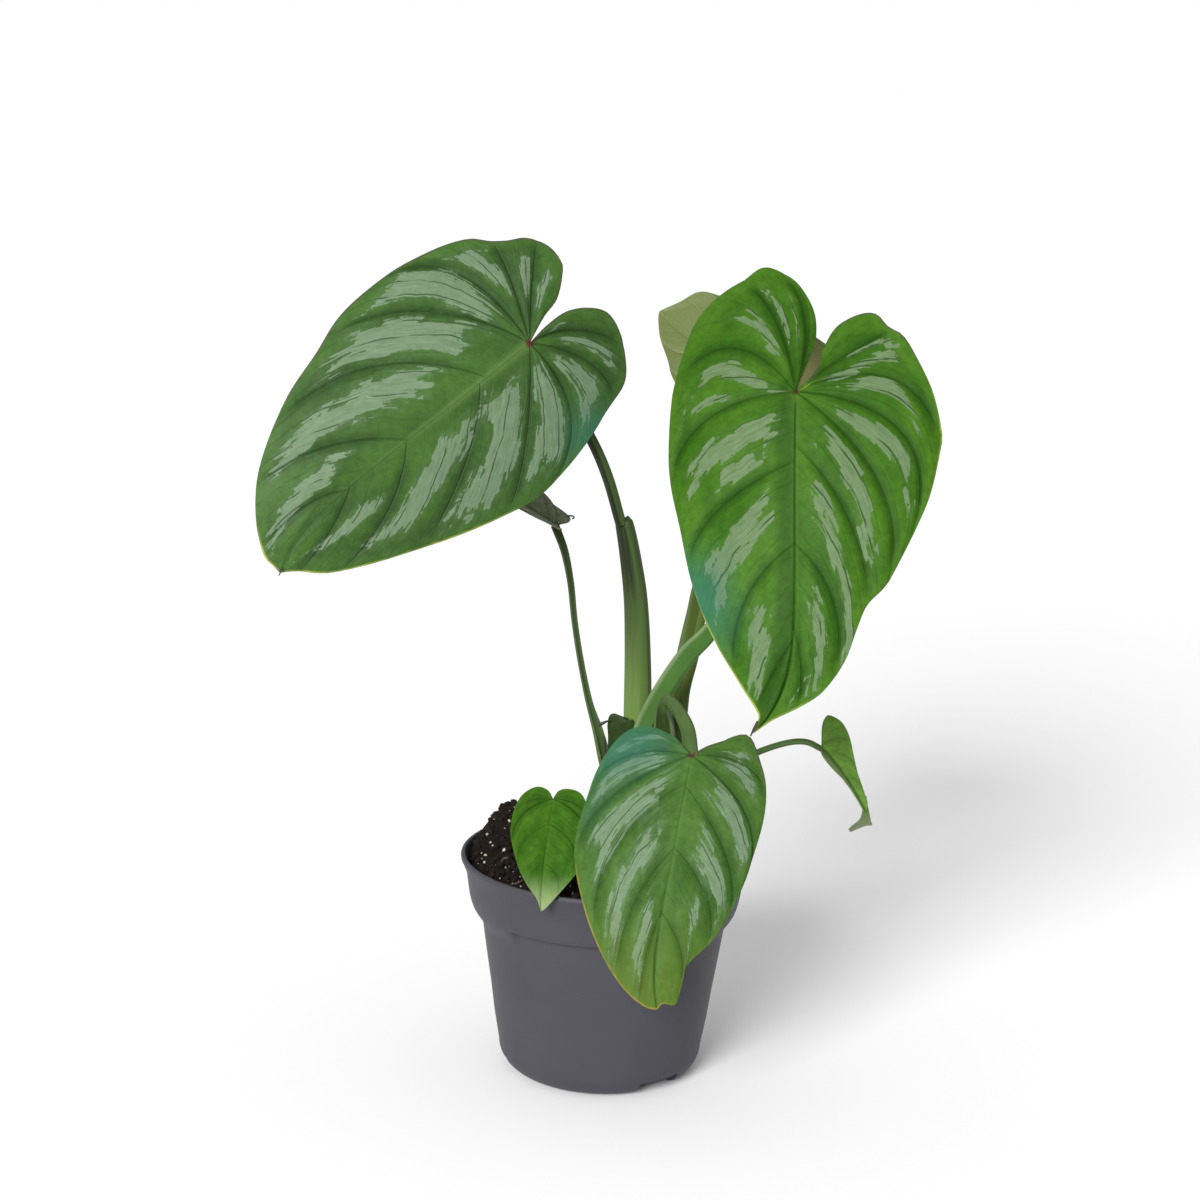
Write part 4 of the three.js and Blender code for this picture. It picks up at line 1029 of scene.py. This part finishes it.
# On some stalks one side is made lighter, as painted light
SKINS = {
    "stalk_left": {"Foot": (0.16, 0.265, 0.06), "Top": (0.008, 0.012, 0.005), "Turn low": 0.08,
                   "Turn high": 0.48, "Streak": (0.05, 0.085, 0.025), "Wing": (0.05, 0.09, 0.02),
                   "Painted light side": -1.0, "Painted light share": 0.6, "Wing share": 0.3, "Seed": 1.0},
    "stalk_right": {"Foot": (0.045, 0.11, 0.02), "Top": (0.024, 0.08, 0.01), "Seed": 5.0,
                    "Streak": (0.035, 0.095, 0.015), "Wing": (0.15, 0.21, 0.1), "Wing share": 0.7,
                    "Painted light side": -1.0, "Painted light share": 0.75},
    "stalk_back": {"Foot": (0.046, 0.082, 0.009), "Top": (0.028, 0.045, 0.008), "Seed": 9.0,
                   "Streak": (0.05, 0.078, 0.013), "Wing": (0.09, 0.13, 0.03), "Wing share": 0.4},
    # stalk_front: its darker foot is painted shade, the rising part lying in the shadow of
    # stalk_right
    "stalk_front": {"Foot": (0.022, 0.045, 0.009), "Top": (0.05, 0.09, 0.024), "Seed": 13.0,
                    "Streak": (0.06, 0.095, 0.03), "Wing": (0.16, 0.22, 0.1), "Wing share": 0.8,
                    "Joint": (0.1, 0.06, 0.03), "Turn low": 0.4, "Turn high": 0.6},
    "stalk_small": {"Foot": (0.06, 0.12, 0.025), "Top": (0.045, 0.095, 0.015), "Seed": 17.0},
    "stalk_hanging": {"Foot": (0.06, 0.12, 0.03), "Top": (0.055, 0.1, 0.03), "Seed": 21.0,
                      "Streak": (0.09, 0.15, 0.05)},
    "stalk_folded": {"Foot": (0.05, 0.09, 0.026), "Top": (0.026, 0.045, 0.013), "Seed": 25.0,
                     "Streak": (0.1, 0.135, 0.065)},
    "bract": {"Foot": (0.018, 0.036, 0.005), "Top": (0.014, 0.031, 0.004), "Turn low": 0.0,
              "Turn high": 0.5, "Streak": (0.024, 0.045, 0.008), "Wing share": 0.3, "Seed": 29.0,
              "Wing": (0.03, 0.05, 0.02)},
    "tail": {"Foot": (0.07, 0.13, 0.022), "Top": (0.105, 0.13, 0.068), "Turn low": 0.1,
             "Turn high": 0.55, "Streak": (0.09, 0.13, 0.045), "Seed": 33.0},
}

# The drawn-out, flared tip of the hanging leaf: its two edges from the blade down to the end
TAIL_LEFT = [(102.6, -11.6, 123.6), (104.1, -11, 119.6), (103.9, -10.4, 115.2), (103.3, -10, 113.2),
             (102.2, -10, 112), (101.2, -10, 111.1), (99.9, -10, 109.9), (99, -10, 108.7)]
TAIL_RIGHT = [(105.3, -11.6, 123.6), (106.2, -11, 119.6), (107.3, -10.4, 115.3),
              (107.9, -10, 112.9), (108.4, -10, 111.1), (105.8, -10, 110.7), (103.1, -10, 109.4),
              (99.8, -10, 107.8)]

# Dried threads and thin tips: the slot of each, its stops and its radii
THREADS = {
    "tip_left": ("leaf", [(-125.9, -64.6, 222), (-126.3, -65.2, 220.8), (-126.9, -66, 219.2)],
                 [0.4, 0.35, 0.15]),
    "tip_right": ("leaf", [(54.4, -86.4, 174), (53.4, -86.6, 171.6), (52, -86.8, 168.2)],
                  [0.3, 0.5, 0.25]),
    "curl_folded": ("leaf", [(-20.4, 24.5, 228.9), (-19, 24.5, 229.2), (-17.9, 24.5, 229.1),
                             (-17.5, 24.5, 228.6), (-17.9, 24.5, 228.1), (-18.4, 24.5, 228.2)],
                    [0.5, 0.35, 0.3, 0.3, 0.3, 0.2]),
    "bract_thread": ("bract", [(-0.2, 2, 148.4), (-1.8, 1.8, 147.9), (-3.4, 1.8, 147),
                               (-4.6, 2, 146.2)], [0.25, 0.5, 0.7, 0.5]),
    "bract_thread_low": ("bract", [(-2.2, 2, 142), (-1.9, 2, 138.6), (-1.5, 2.2, 135.6),
                                   (-1.2, 2.6, 132)], [0.2, 0.5, 0.5, 0.25]),
}


# Half the section of a stalk, from the back round to the middle of the groove, and its mirror
def stalk_ring(wide, deep, wing):
    floor = 0.3 * deep
    angle = np.linspace(0, math.pi / 2, BACK_POINTS)[::-1]
    half = [(wide * math.cos(a), -deep * math.sin(a)) for a in angle]
    half += [(0.95 * wide, 0.5 * wing), (0.9 * wide, 0.88 * wing), (0.86 * wide, wing),
             (0.81 * wide, 0.93 * wing), (0.72 * wide, 0.6 * wing + 0.4 * floor),
             (0.6 * wide, 0.2 * wing + 0.8 * floor), (0.42 * wide, floor),
             (0.2 * wide, 0.92 * floor), (0, 0.9 * floor)]
    turn = np.linspace(0, 0.5, len(half))
    fin = [1.0 if 0.8 * wide <= x <= 0.96 * wide and y > 0.3 * wing else 0.0 for x, y in half]
    ring = half + [(-x, y) for x, y in half[-2:0:-1]]
    turns = np.concatenate([turn, 1 - turn[-2:0:-1]])
    return ring, {"turn": np.abs(2 * turns - 1), "side": [x / wide for x, _ in ring],
                  "wing": np.array(fin + fin[-2:0:-1])}


def build_stalk(name, form, end, slot):
    stops = [*form["path"]] if end is None else [*form["path"], tuple(end)]
    spots, line, ahead = course(stops, STALK_STEPS)
    groove = np.array(form["groove"], float)
    groove = unit(groove - ahead * (ahead @ groove)[:, None])
    across = np.cross(ahead, groove)
    wide, deep, wing = (smooth_table(form[key], spots) for key in ("wide", "deep", "wing"))
    points, facts = [], {}
    for i, spot in enumerate(spots):
        ring, known = stalk_ring(wide[i] / 2, deep[i] / 2, wing[i])
        points += [line[i] + across[i] * x + groove[i] * y for x, y in ring]
        known["wing"] = known["wing"] * rising(wing[i], WING_START, WING_FULL)
        reach = spot / spots[-1]
        joint = 0 if end is None else rising(reach, JOINT_START, 1.0)
        note(facts, {"reach": [reach] * len(ring), **known, "joint": [joint] * len(ring)})
    add_piece(name + "_skin", points, tube_faces(len(spots), len(ring)),
              [stalk_material(name + "_skin", SKINS[name])], slot, [name], facts)


# A thin round line that tapers, for dried threads, drawn-out tips and roots
def thread(stops, radii, sides=8, steps=6):
    spots, line, ahead = course(stops, steps)
    side = unit(np.cross(ahead, THREAD_ASIDE))
    other = np.cross(ahead, side)
    radius = smooth_table(radii, spots)
    points = [line[i] + radius[i] * (math.cos(a) * side[i] + math.sin(a) * other[i])
              for i in range(len(spots)) for a in full_turn(sides)]
    return points, tube_faces(len(spots), sides)


# A thin closed strip between two lines, rounded across
def strip(left, right, thick, bulge):
    spots = np.linspace(0, len(left) - 1, STRIP_ROWS)
    start = through(left, spots, open_ends=True)
    across = through(right, spots, open_ends=True) - start
    normal = unit(np.cross(across, np.gradient(start + across / 2, axis=0)), TINY)
    shares = np.linspace(0, 1, STRIP_COLUMNS + 1)
    turn = np.concatenate([shares, shares[::-1]])
    layers = [0.5] * len(shares) + [-0.5] * len(shares)
    none = [0] * len(turn)
    points, facts = [], {}
    for i in range(STRIP_ROWS):
        for share, layer in zip(turn, layers):
            rise = bulge * math.sin(math.pi * share) + thick * layer
            points.append(start[i] + across[i] * share + normal[i] * rise)
        note(facts, {"reach": [i / (STRIP_ROWS - 1)] * len(turn), "turn": turn,
                     "side": 2 * turn - 1, "wing": none, "joint": none})
    return points, tube_faces(STRIP_ROWS, len(turn)), facts


# Many small pieces as one, each with a tone of its own
def add_strewn(name, parts, material, sharp=None):
    points, faces, tones = [], [], []
    for part_points, part_faces, tone in parts:
        first = len(points)
        points.extend(part_points)
        faces.extend(tuple(i + first for i in face) for face in part_faces)
        tones.extend([tone] * len(part_points))
    add_piece(name, points, faces, [material], "soil", (), {"tone": tones}, sharp=sharp)


# Points of a profile, each some steps out and up from one place
def steps_from(radius, height, steps):
    return [(radius + out, height + up) for out, up in steps]


# Pot profile: from the middle of the underside up the outside and down the inside
def pot_profile(with_ledge):
    foot = [(FOOT_RADIUS + (BODY_FOOT - FOOT_RADIUS) * math.sin(a),
             FOOT_ROUNDING * (1 - math.cos(a))) for a in np.linspace(0, math.pi / 2, 14)]
    if with_ledge:
        collar = steps_from(BODY_TOP, LEDGE_HEIGHT, LEDGE_STEPS)
        collar += [(COLLAR_RADIUS - 0.6, LEDGE_HEIGHT + 8)]
    else:
        collar = steps_from(BODY_TOP, COLLAR_FOOT, SHOULDER_STEPS)
        collar += steps_from(COLLAR_RADIUS, COLLAR_FOOT, COLLAR_STEPS)
    return np.array([
        (0, 0), *steps_from(MIDDLE_RADIUS, 0, [(-1.2, 0), (-0.7, 0.5), (0, FOOT_RISE)]),
        *steps_from(FOOT_INNER, 0, [(0, FOOT_RISE), (0.7, 0.5), (1.2, 0)]), *foot,
        *steps_from((BODY_TOP + BODY_FOOT) / 2, BODY_MIDDLE, [(-1.6, -12), (0, 0), (2, 13)]),
        *collar, (COLLAR_RADIUS, COLLAR_MIDDLE), *steps_from(RIM_RADIUS, POT_HEIGHT, LIP_STEPS),
        *steps_from(RIM_RADIUS - LIP, POT_HEIGHT, INNER_LIP_STEPS),
        (COLLAR_RADIUS - WALL, COLLAR_MIDDLE), (BODY_TOP - WALL, COLLAR_FOOT - 4),
        (BODY_FOOT - WALL, FOOT_ROUNDING + 1), (FOOT_RADIUS + FLOOR_THICK, FLOOR_TOP),
        (0, FLOOR_TOP)])


# A box with three sizes, or a post with a radius and a depth, to cut out of the pot
def cutter(name, size, matrix):
    mesh = bpy.data.meshes.new(name)
    shape = bmesh.new()
    if len(size) == 3:
        bmesh.ops.create_cube(shape, size=1)
        bmesh.ops.scale(shape, vec=Vector(size) * MM, verts=shape.verts)
    else:
        radius, depth = size
        bmesh.ops.create_cone(shape, cap_ends=True, segments=32, radius1=radius * MM,
                              radius2=radius * MM, depth=depth * MM)
    bmesh.ops.transform(shape, matrix=matrix, verts=shape.verts)
    shape.to_mesh(mesh)
    shape.free()
    return new_object(name, mesh)


def pot_cutters():
    cutters = []
    for angle in SLOT_TURNS:
        turn = Matrix.Rotation(math.radians(angle), 4, "Z")
        for size, out in SLOT_SIZES:
            cutters.append(cutter("slot", size, turn @ Matrix.Translation((0, -out * MM, 0))))
    for k in range(HOLE_COUNT):
        angle = (k + 0.5) * 2 * math.pi / HOLE_COUNT
        at = Matrix.Translation((HOLE_CIRCLE * MM * math.cos(angle),
                                 HOLE_CIRCLE * MM * math.sin(angle), FOOT_RISE * MM))
        cutters.append(cutter("hole", (HOLE_RADIUS, 4 * FOOT_RISE), at))
    return cutters


def build_pot(material):
    plain, stepped = pot_profile(False), pot_profile(True)
    points = []
    for k in range(POT_SIDES):
        around = 360 * k / POT_SIDES
        from_front = min(around, 360 - around)
        ledge = 1 - rising(from_front, LEDGE_REACH - 3, LEDGE_REACH + 1)
        angle = math.radians(around)
        points += [(radius * math.sin(angle), -radius * math.cos(angle), height)
                   for radius, height in plain + (stepped - plain) * ledge]
    wide = len(plain)
    faces = grid_faces(0, POT_SIDES, wide, flip=True)
    last = (POT_SIDES - 1) * wide
    faces += [(k, k + 1, last + k + 1, last + k) for k in range(wide - 1)]
    pot = add_piece("pot_wall", points, faces, [material], "pot_plastic", ["pot"])
    shape = bmesh.new()
    shape.from_mesh(pot.data)
    bmesh.ops.remove_doubles(shape, verts=shape.verts, dist=1e-6)
    bmesh.ops.recalc_face_normals(shape, faces=shape.faces)
    shape.to_mesh(pot.data)
    shape.free()
    cutters = pot_cutters()
    for made in cutters:
        change = pot.modifiers.new(made.name, "BOOLEAN")
        change.object = made
        change.operation = "DIFFERENCE"
        change.solver = "EXACT"
    bpy.context.view_layer.update()
    done = bpy.data.meshes.new_from_object(pot.evaluated_get(bpy.context.evaluated_depsgraph_get()))
    pot.modifiers.clear()
    pot.data = done
    for made in cutters:
        bpy.data.objects.remove(made)
    smooth_all(done, POT_SHARP)


def soil_height(x, y):
    reach = math.hypot(x, y) / RIM_RADIUS
    mound = SOIL_MOUND * (1 - reach * reach)
    from_bank = math.hypot(x - BANK_AT[0], y - BANK_AT[1]) / BANK_SPREAD
    bank = SOIL_BANK * math.exp(-0.5 * from_bank ** 2) * (1 - reach ** 16)
    crumbs = (math.sin(x * 0.83 + 1.3) * math.cos(y * 0.71)
              + math.sin(x * 0.37 - y * 0.59 + 2))
    return SOIL_EDGE + mound + bank + CRUMB_HIGH * crumbs


# The soil's own surface, uneven at the size of crumbs
def soil_surface(x, y):
    uneven = noise.fractal(Vector((x, y, 3.0)) * 0.22, 0.9, 2.0, 4)
    lumps = noise.noise(Vector((x, y, 9.0)) * 0.55)
    return soil_height(x, y) + 1.2 * uneven + 0.7 * max(0.0, lumps)


def build_soil(material):
    inside = -WALL - SOIL_CLEAR
    low = FLOOR_TOP + SOIL_CLEAR / 2
    rings = [(SOIL_REACH * (k / SOIL_RINGS) ** 0.9, None) for k in range(SOIL_RINGS + 1)]
    rings += [(COLLAR_RADIUS + inside, SOIL_EDGE - 3.5), (BODY_TOP + inside, COLLAR_FOOT - 4),
              (BODY_FOOT + inside, FOOT_ROUNDING + 1),
              (FOOT_RADIUS + FLOOR_THICK - SOIL_CLEAR, low), (0.01, low)]
    points = []
    for radius, height in rings:
        for a in full_turn(SOIL_SIDES):
            x, y = radius * math.cos(a), radius * math.sin(a)
            points.append((x, y, soil_surface(x, y) if height is None else height))
    faces = grid_faces(0, len(rings), SOIL_SIDES, flip=True, closed=True)
    tones = [0.5 + 0.5 * noise.noise(Vector(p) * 0.5) for p in points]
    add_piece("soil_bed", points, faces, [material], "soil", ["soil"], {"tone": tones})


def lump(detail):
    shape = bmesh.new()
    bmesh.ops.create_icosphere(shape, subdivisions=detail, radius=1)
    points = np.array([v.co[:] for v in shape.verts])
    faces = [tuple(v.index for v in face.verts) for face in shape.faces]
    shape.free()
    return points, faces


# A random place on the soil, clear of the crown
def free_spot(random, reach):
    while True:
        angle, radius = random.uniform(0, 2 * math.pi), reach * math.sqrt(random.uniform(0, 1))
        x, y = radius * math.cos(angle), radius * math.sin(angle)
        if math.hypot((x - CROWN_AT[0]) / CROWN_HALF[0], (y - CROWN_AT[1]) / CROWN_HALF[1]) > 1.03:
            return x, y


# Crumbs or grains strewn over the soil, each a small rough lump
def build_grains(name, material, seed, count, sizes, detail, rough, sink, reach):
    random = np.random.default_rng(seed)
    base, base_faces = lump(detail)
    parts = []
    for _ in range(count):
        x, y = free_spot(random, reach)
        size = sizes[0] + (sizes[1] - sizes[0]) * random.uniform(0, 1) ** 2.5
        shape = base * (1 + rough * random.uniform(-1, 1, (len(base), 1)))
        shape = shape * random.uniform(0.7, 1.2, 3) * size
        axis = Vector(random.normal(size=3))
        turn = np.array(Matrix.Rotation(random.uniform(0, math.pi), 3, axis))
        at = (x, y, soil_surface(x, y) + size * sink)
        parts.append((shape @ turn.T + at, base_faces, random.uniform(0, 1)))
    add_strewn(name, parts, material, GRAIN_SHARP)


def build_roots(material):
    random = np.random.default_rng(ROOT_SEED)
    parts = []
    for x, y, angle, length in ROOTS:
        stops = []
        for k in range(len(ROOT_RADII)):
            t = k / (len(ROOT_RADII) - 1) - 0.5
            turn = angle + 0.5 * t + random.uniform(-0.1, 0.1)
            px, py = x + length * t * math.cos(turn), y + length * t * math.sin(turn)
            stops.append((px, py, soil_surface(px, py) + 0.8 - 3 * t ** 2))
        parts.append((*thread(stops, ROOT_RADII, 6, 4), random.uniform(0, 1)))
    add_strewn("soil_roots", parts, material)


def build_crown(material):
    outline = [(0.001, CROWN_FOOT), (0.55, CROWN_FOOT + 3), (0.8, CROWN_FOOT + 12),
               *steps_from(0, CROWN_TOP, CROWN_STEPS)]
    profile = through(outline, np.linspace(0, len(outline) - 1, CROWN_ROWS))
    points, reach = [], []
    for share, height in profile:
        for a in full_turn(CROWN_SIDES):
            ribs = 1 + 0.02 * math.sin(9 * a + height * 0.2) + 0.012 * noise.noise(
                Vector((math.cos(a) * 3, math.sin(a) * 3, height * 0.4)))
            points.append((CROWN_AT[0] + share * ribs * CROWN_HALF[0] * math.cos(a),
                           CROWN_AT[1] + share * ribs * CROWN_HALF[1] * math.sin(a), height))
            reach.append((height - CROWN_FOOT) / (CROWN_TOP - CROWN_FOOT))
    faces = grid_faces(0, len(profile), CROWN_SIDES, closed=True)
    add_piece("crown_stem", points, faces, [material], "crown", ["crown"], {"reach": reach})


def build_camera():
    data = bpy.data.cameras.new("camera")
    data.lens = FOCAL
    data.sensor_width = SENSOR
    data.clip_start = 0.01
    data.clip_end = 200
    camera = new_object("camera", data)
    pitch = math.radians(PITCH)
    away = Vector((0, -math.cos(pitch), math.sin(pitch))) * DISTANCE
    at = (Vector(AIM) + away) * MM
    turn = Matrix.Rotation(math.pi / 2 - pitch, 4, "X") @ Matrix.Rotation(math.radians(ROLL), 4, "Z")
    camera.matrix_world = Matrix.Translation(at) @ turn
    bpy.context.scene.camera = camera


def build_floor():
    material, g, shader = new_material("floor_white")
    shade = g.noise(g.place(), 2.0)
    shader.inputs["Specular IOR Level"].default_value = 0.0
    g.fill(shader, {"Base Color": g.mix(shade, (0.93, 0.93, 0.93), (0.94, 0.94, 0.94)),
                    "Roughness": 0.9})
    mesh = bpy.data.meshes.new("floor")
    half = FLOOR_SIZE / 2
    mesh.from_pydata([(-half, -half, 0), (half, -half, 0), (half, half, 0), (-half, half, 0)], [],
                     [(0, 1, 2, 3)])
    mesh.materials.append(material)
    floor = new_object("floor", mesh)


def build_light():
    light = bpy.data.lights.new("sun", "SUN")
    light.energy = SUN_POWER
    light.angle = math.radians(SUN_WIDTH)
    new_object("sun", light).rotation_euler = Vector(SUN_FROM).to_track_quat("Z", "Y").to_euler()
    world = bpy.data.worlds.new("sky")
    world.use_nodes = True
    bpy.context.scene.world = world
    g = Graph(world.node_tree)
    ray = g.add("ShaderNodeLightPath").outputs["Is Camera Ray"]
    sky = world.node_tree.nodes["Background"]
    g.fill(sky, {"Color": (1, 1, 1), "Strength": g.plus(g.times(ray, 1.0 - SKY), SKY)})


build_camera()
build_floor()
build_light()
bpy.context.scene.view_settings.view_transform = "Standard"

blades = {}
for name, form in LEAVES.items():
    face = skin_material(name + "_face", LEAF_FACE, FACES[name], FACE_GLOSS.get(name, DULL_FACE))
    back = skin_material(name + "_back", LEAF_BACK, BACKS.get(name, {"Seed": 1.0}), BACK_GLOSS,
                         BACK_ROUGH)
    blades[name] = Blade(form)
    blades[name].build(name, [face, back], "young_leaf" if name == "leaf_back" else "leaf")

for name, form in STALKS.items():
    blade = blades[form["leaf"]]
    depth = BLADE_THICK + KEEL_DEPTH * blade.sturdy * 0.5
    end = blade.place(np.array(0.0), np.array(0.5), np.array(-depth))
    build_stalk(name, form, end, "stalk")
build_stalk("bract", BRACT, None, "bract")

points, faces, facts = strip(TAIL_LEFT, TAIL_RIGHT, TAIL_THICK, TAIL_BULGE)
add_piece("tail_hanging", points, faces, [stalk_material("tail_skin", SKINS["tail"])], "leaf",
          facts=facts)
dried = plain_material("dried_thread", (0.008, 0.006, 0.006), (0.03, 0.022, 0.02), 500, 0.6)
for name, (slot, stops, radii) in THREADS.items():
    add_piece(name, *thread(stops, radii), [dried], slot)

build_crown(crown_material())
build_pot(pot_material())
build_soil(soil_material("soil_dark", (0.0035, 0.002, 0.0012), (0.01, 0.006, 0.0035)))
crumb = soil_material("soil_crumb", (0.003, 0.0018, 0.0012), (0.02, 0.0125, 0.0075))
build_grains("soil_crumbs", crumb, seed=5, count=2400, sizes=(0.4, 1.9), detail=1, rough=0.25,
             sink=0.2, reach=55.5)
white = soil_material("perlite_white", (0.32, 0.27, 0.2), (0.56, 0.52, 0.44), 0.8)
build_grains("perlite", white, seed=8, count=300, sizes=(0.2, 0.85), detail=2, rough=0.22,
             sink=0.3, reach=55)
build_roots(plain_material("root_brown", (0.11, 0.07, 0.04), (0.05, 0.03, 0.02), 300, 0.7))
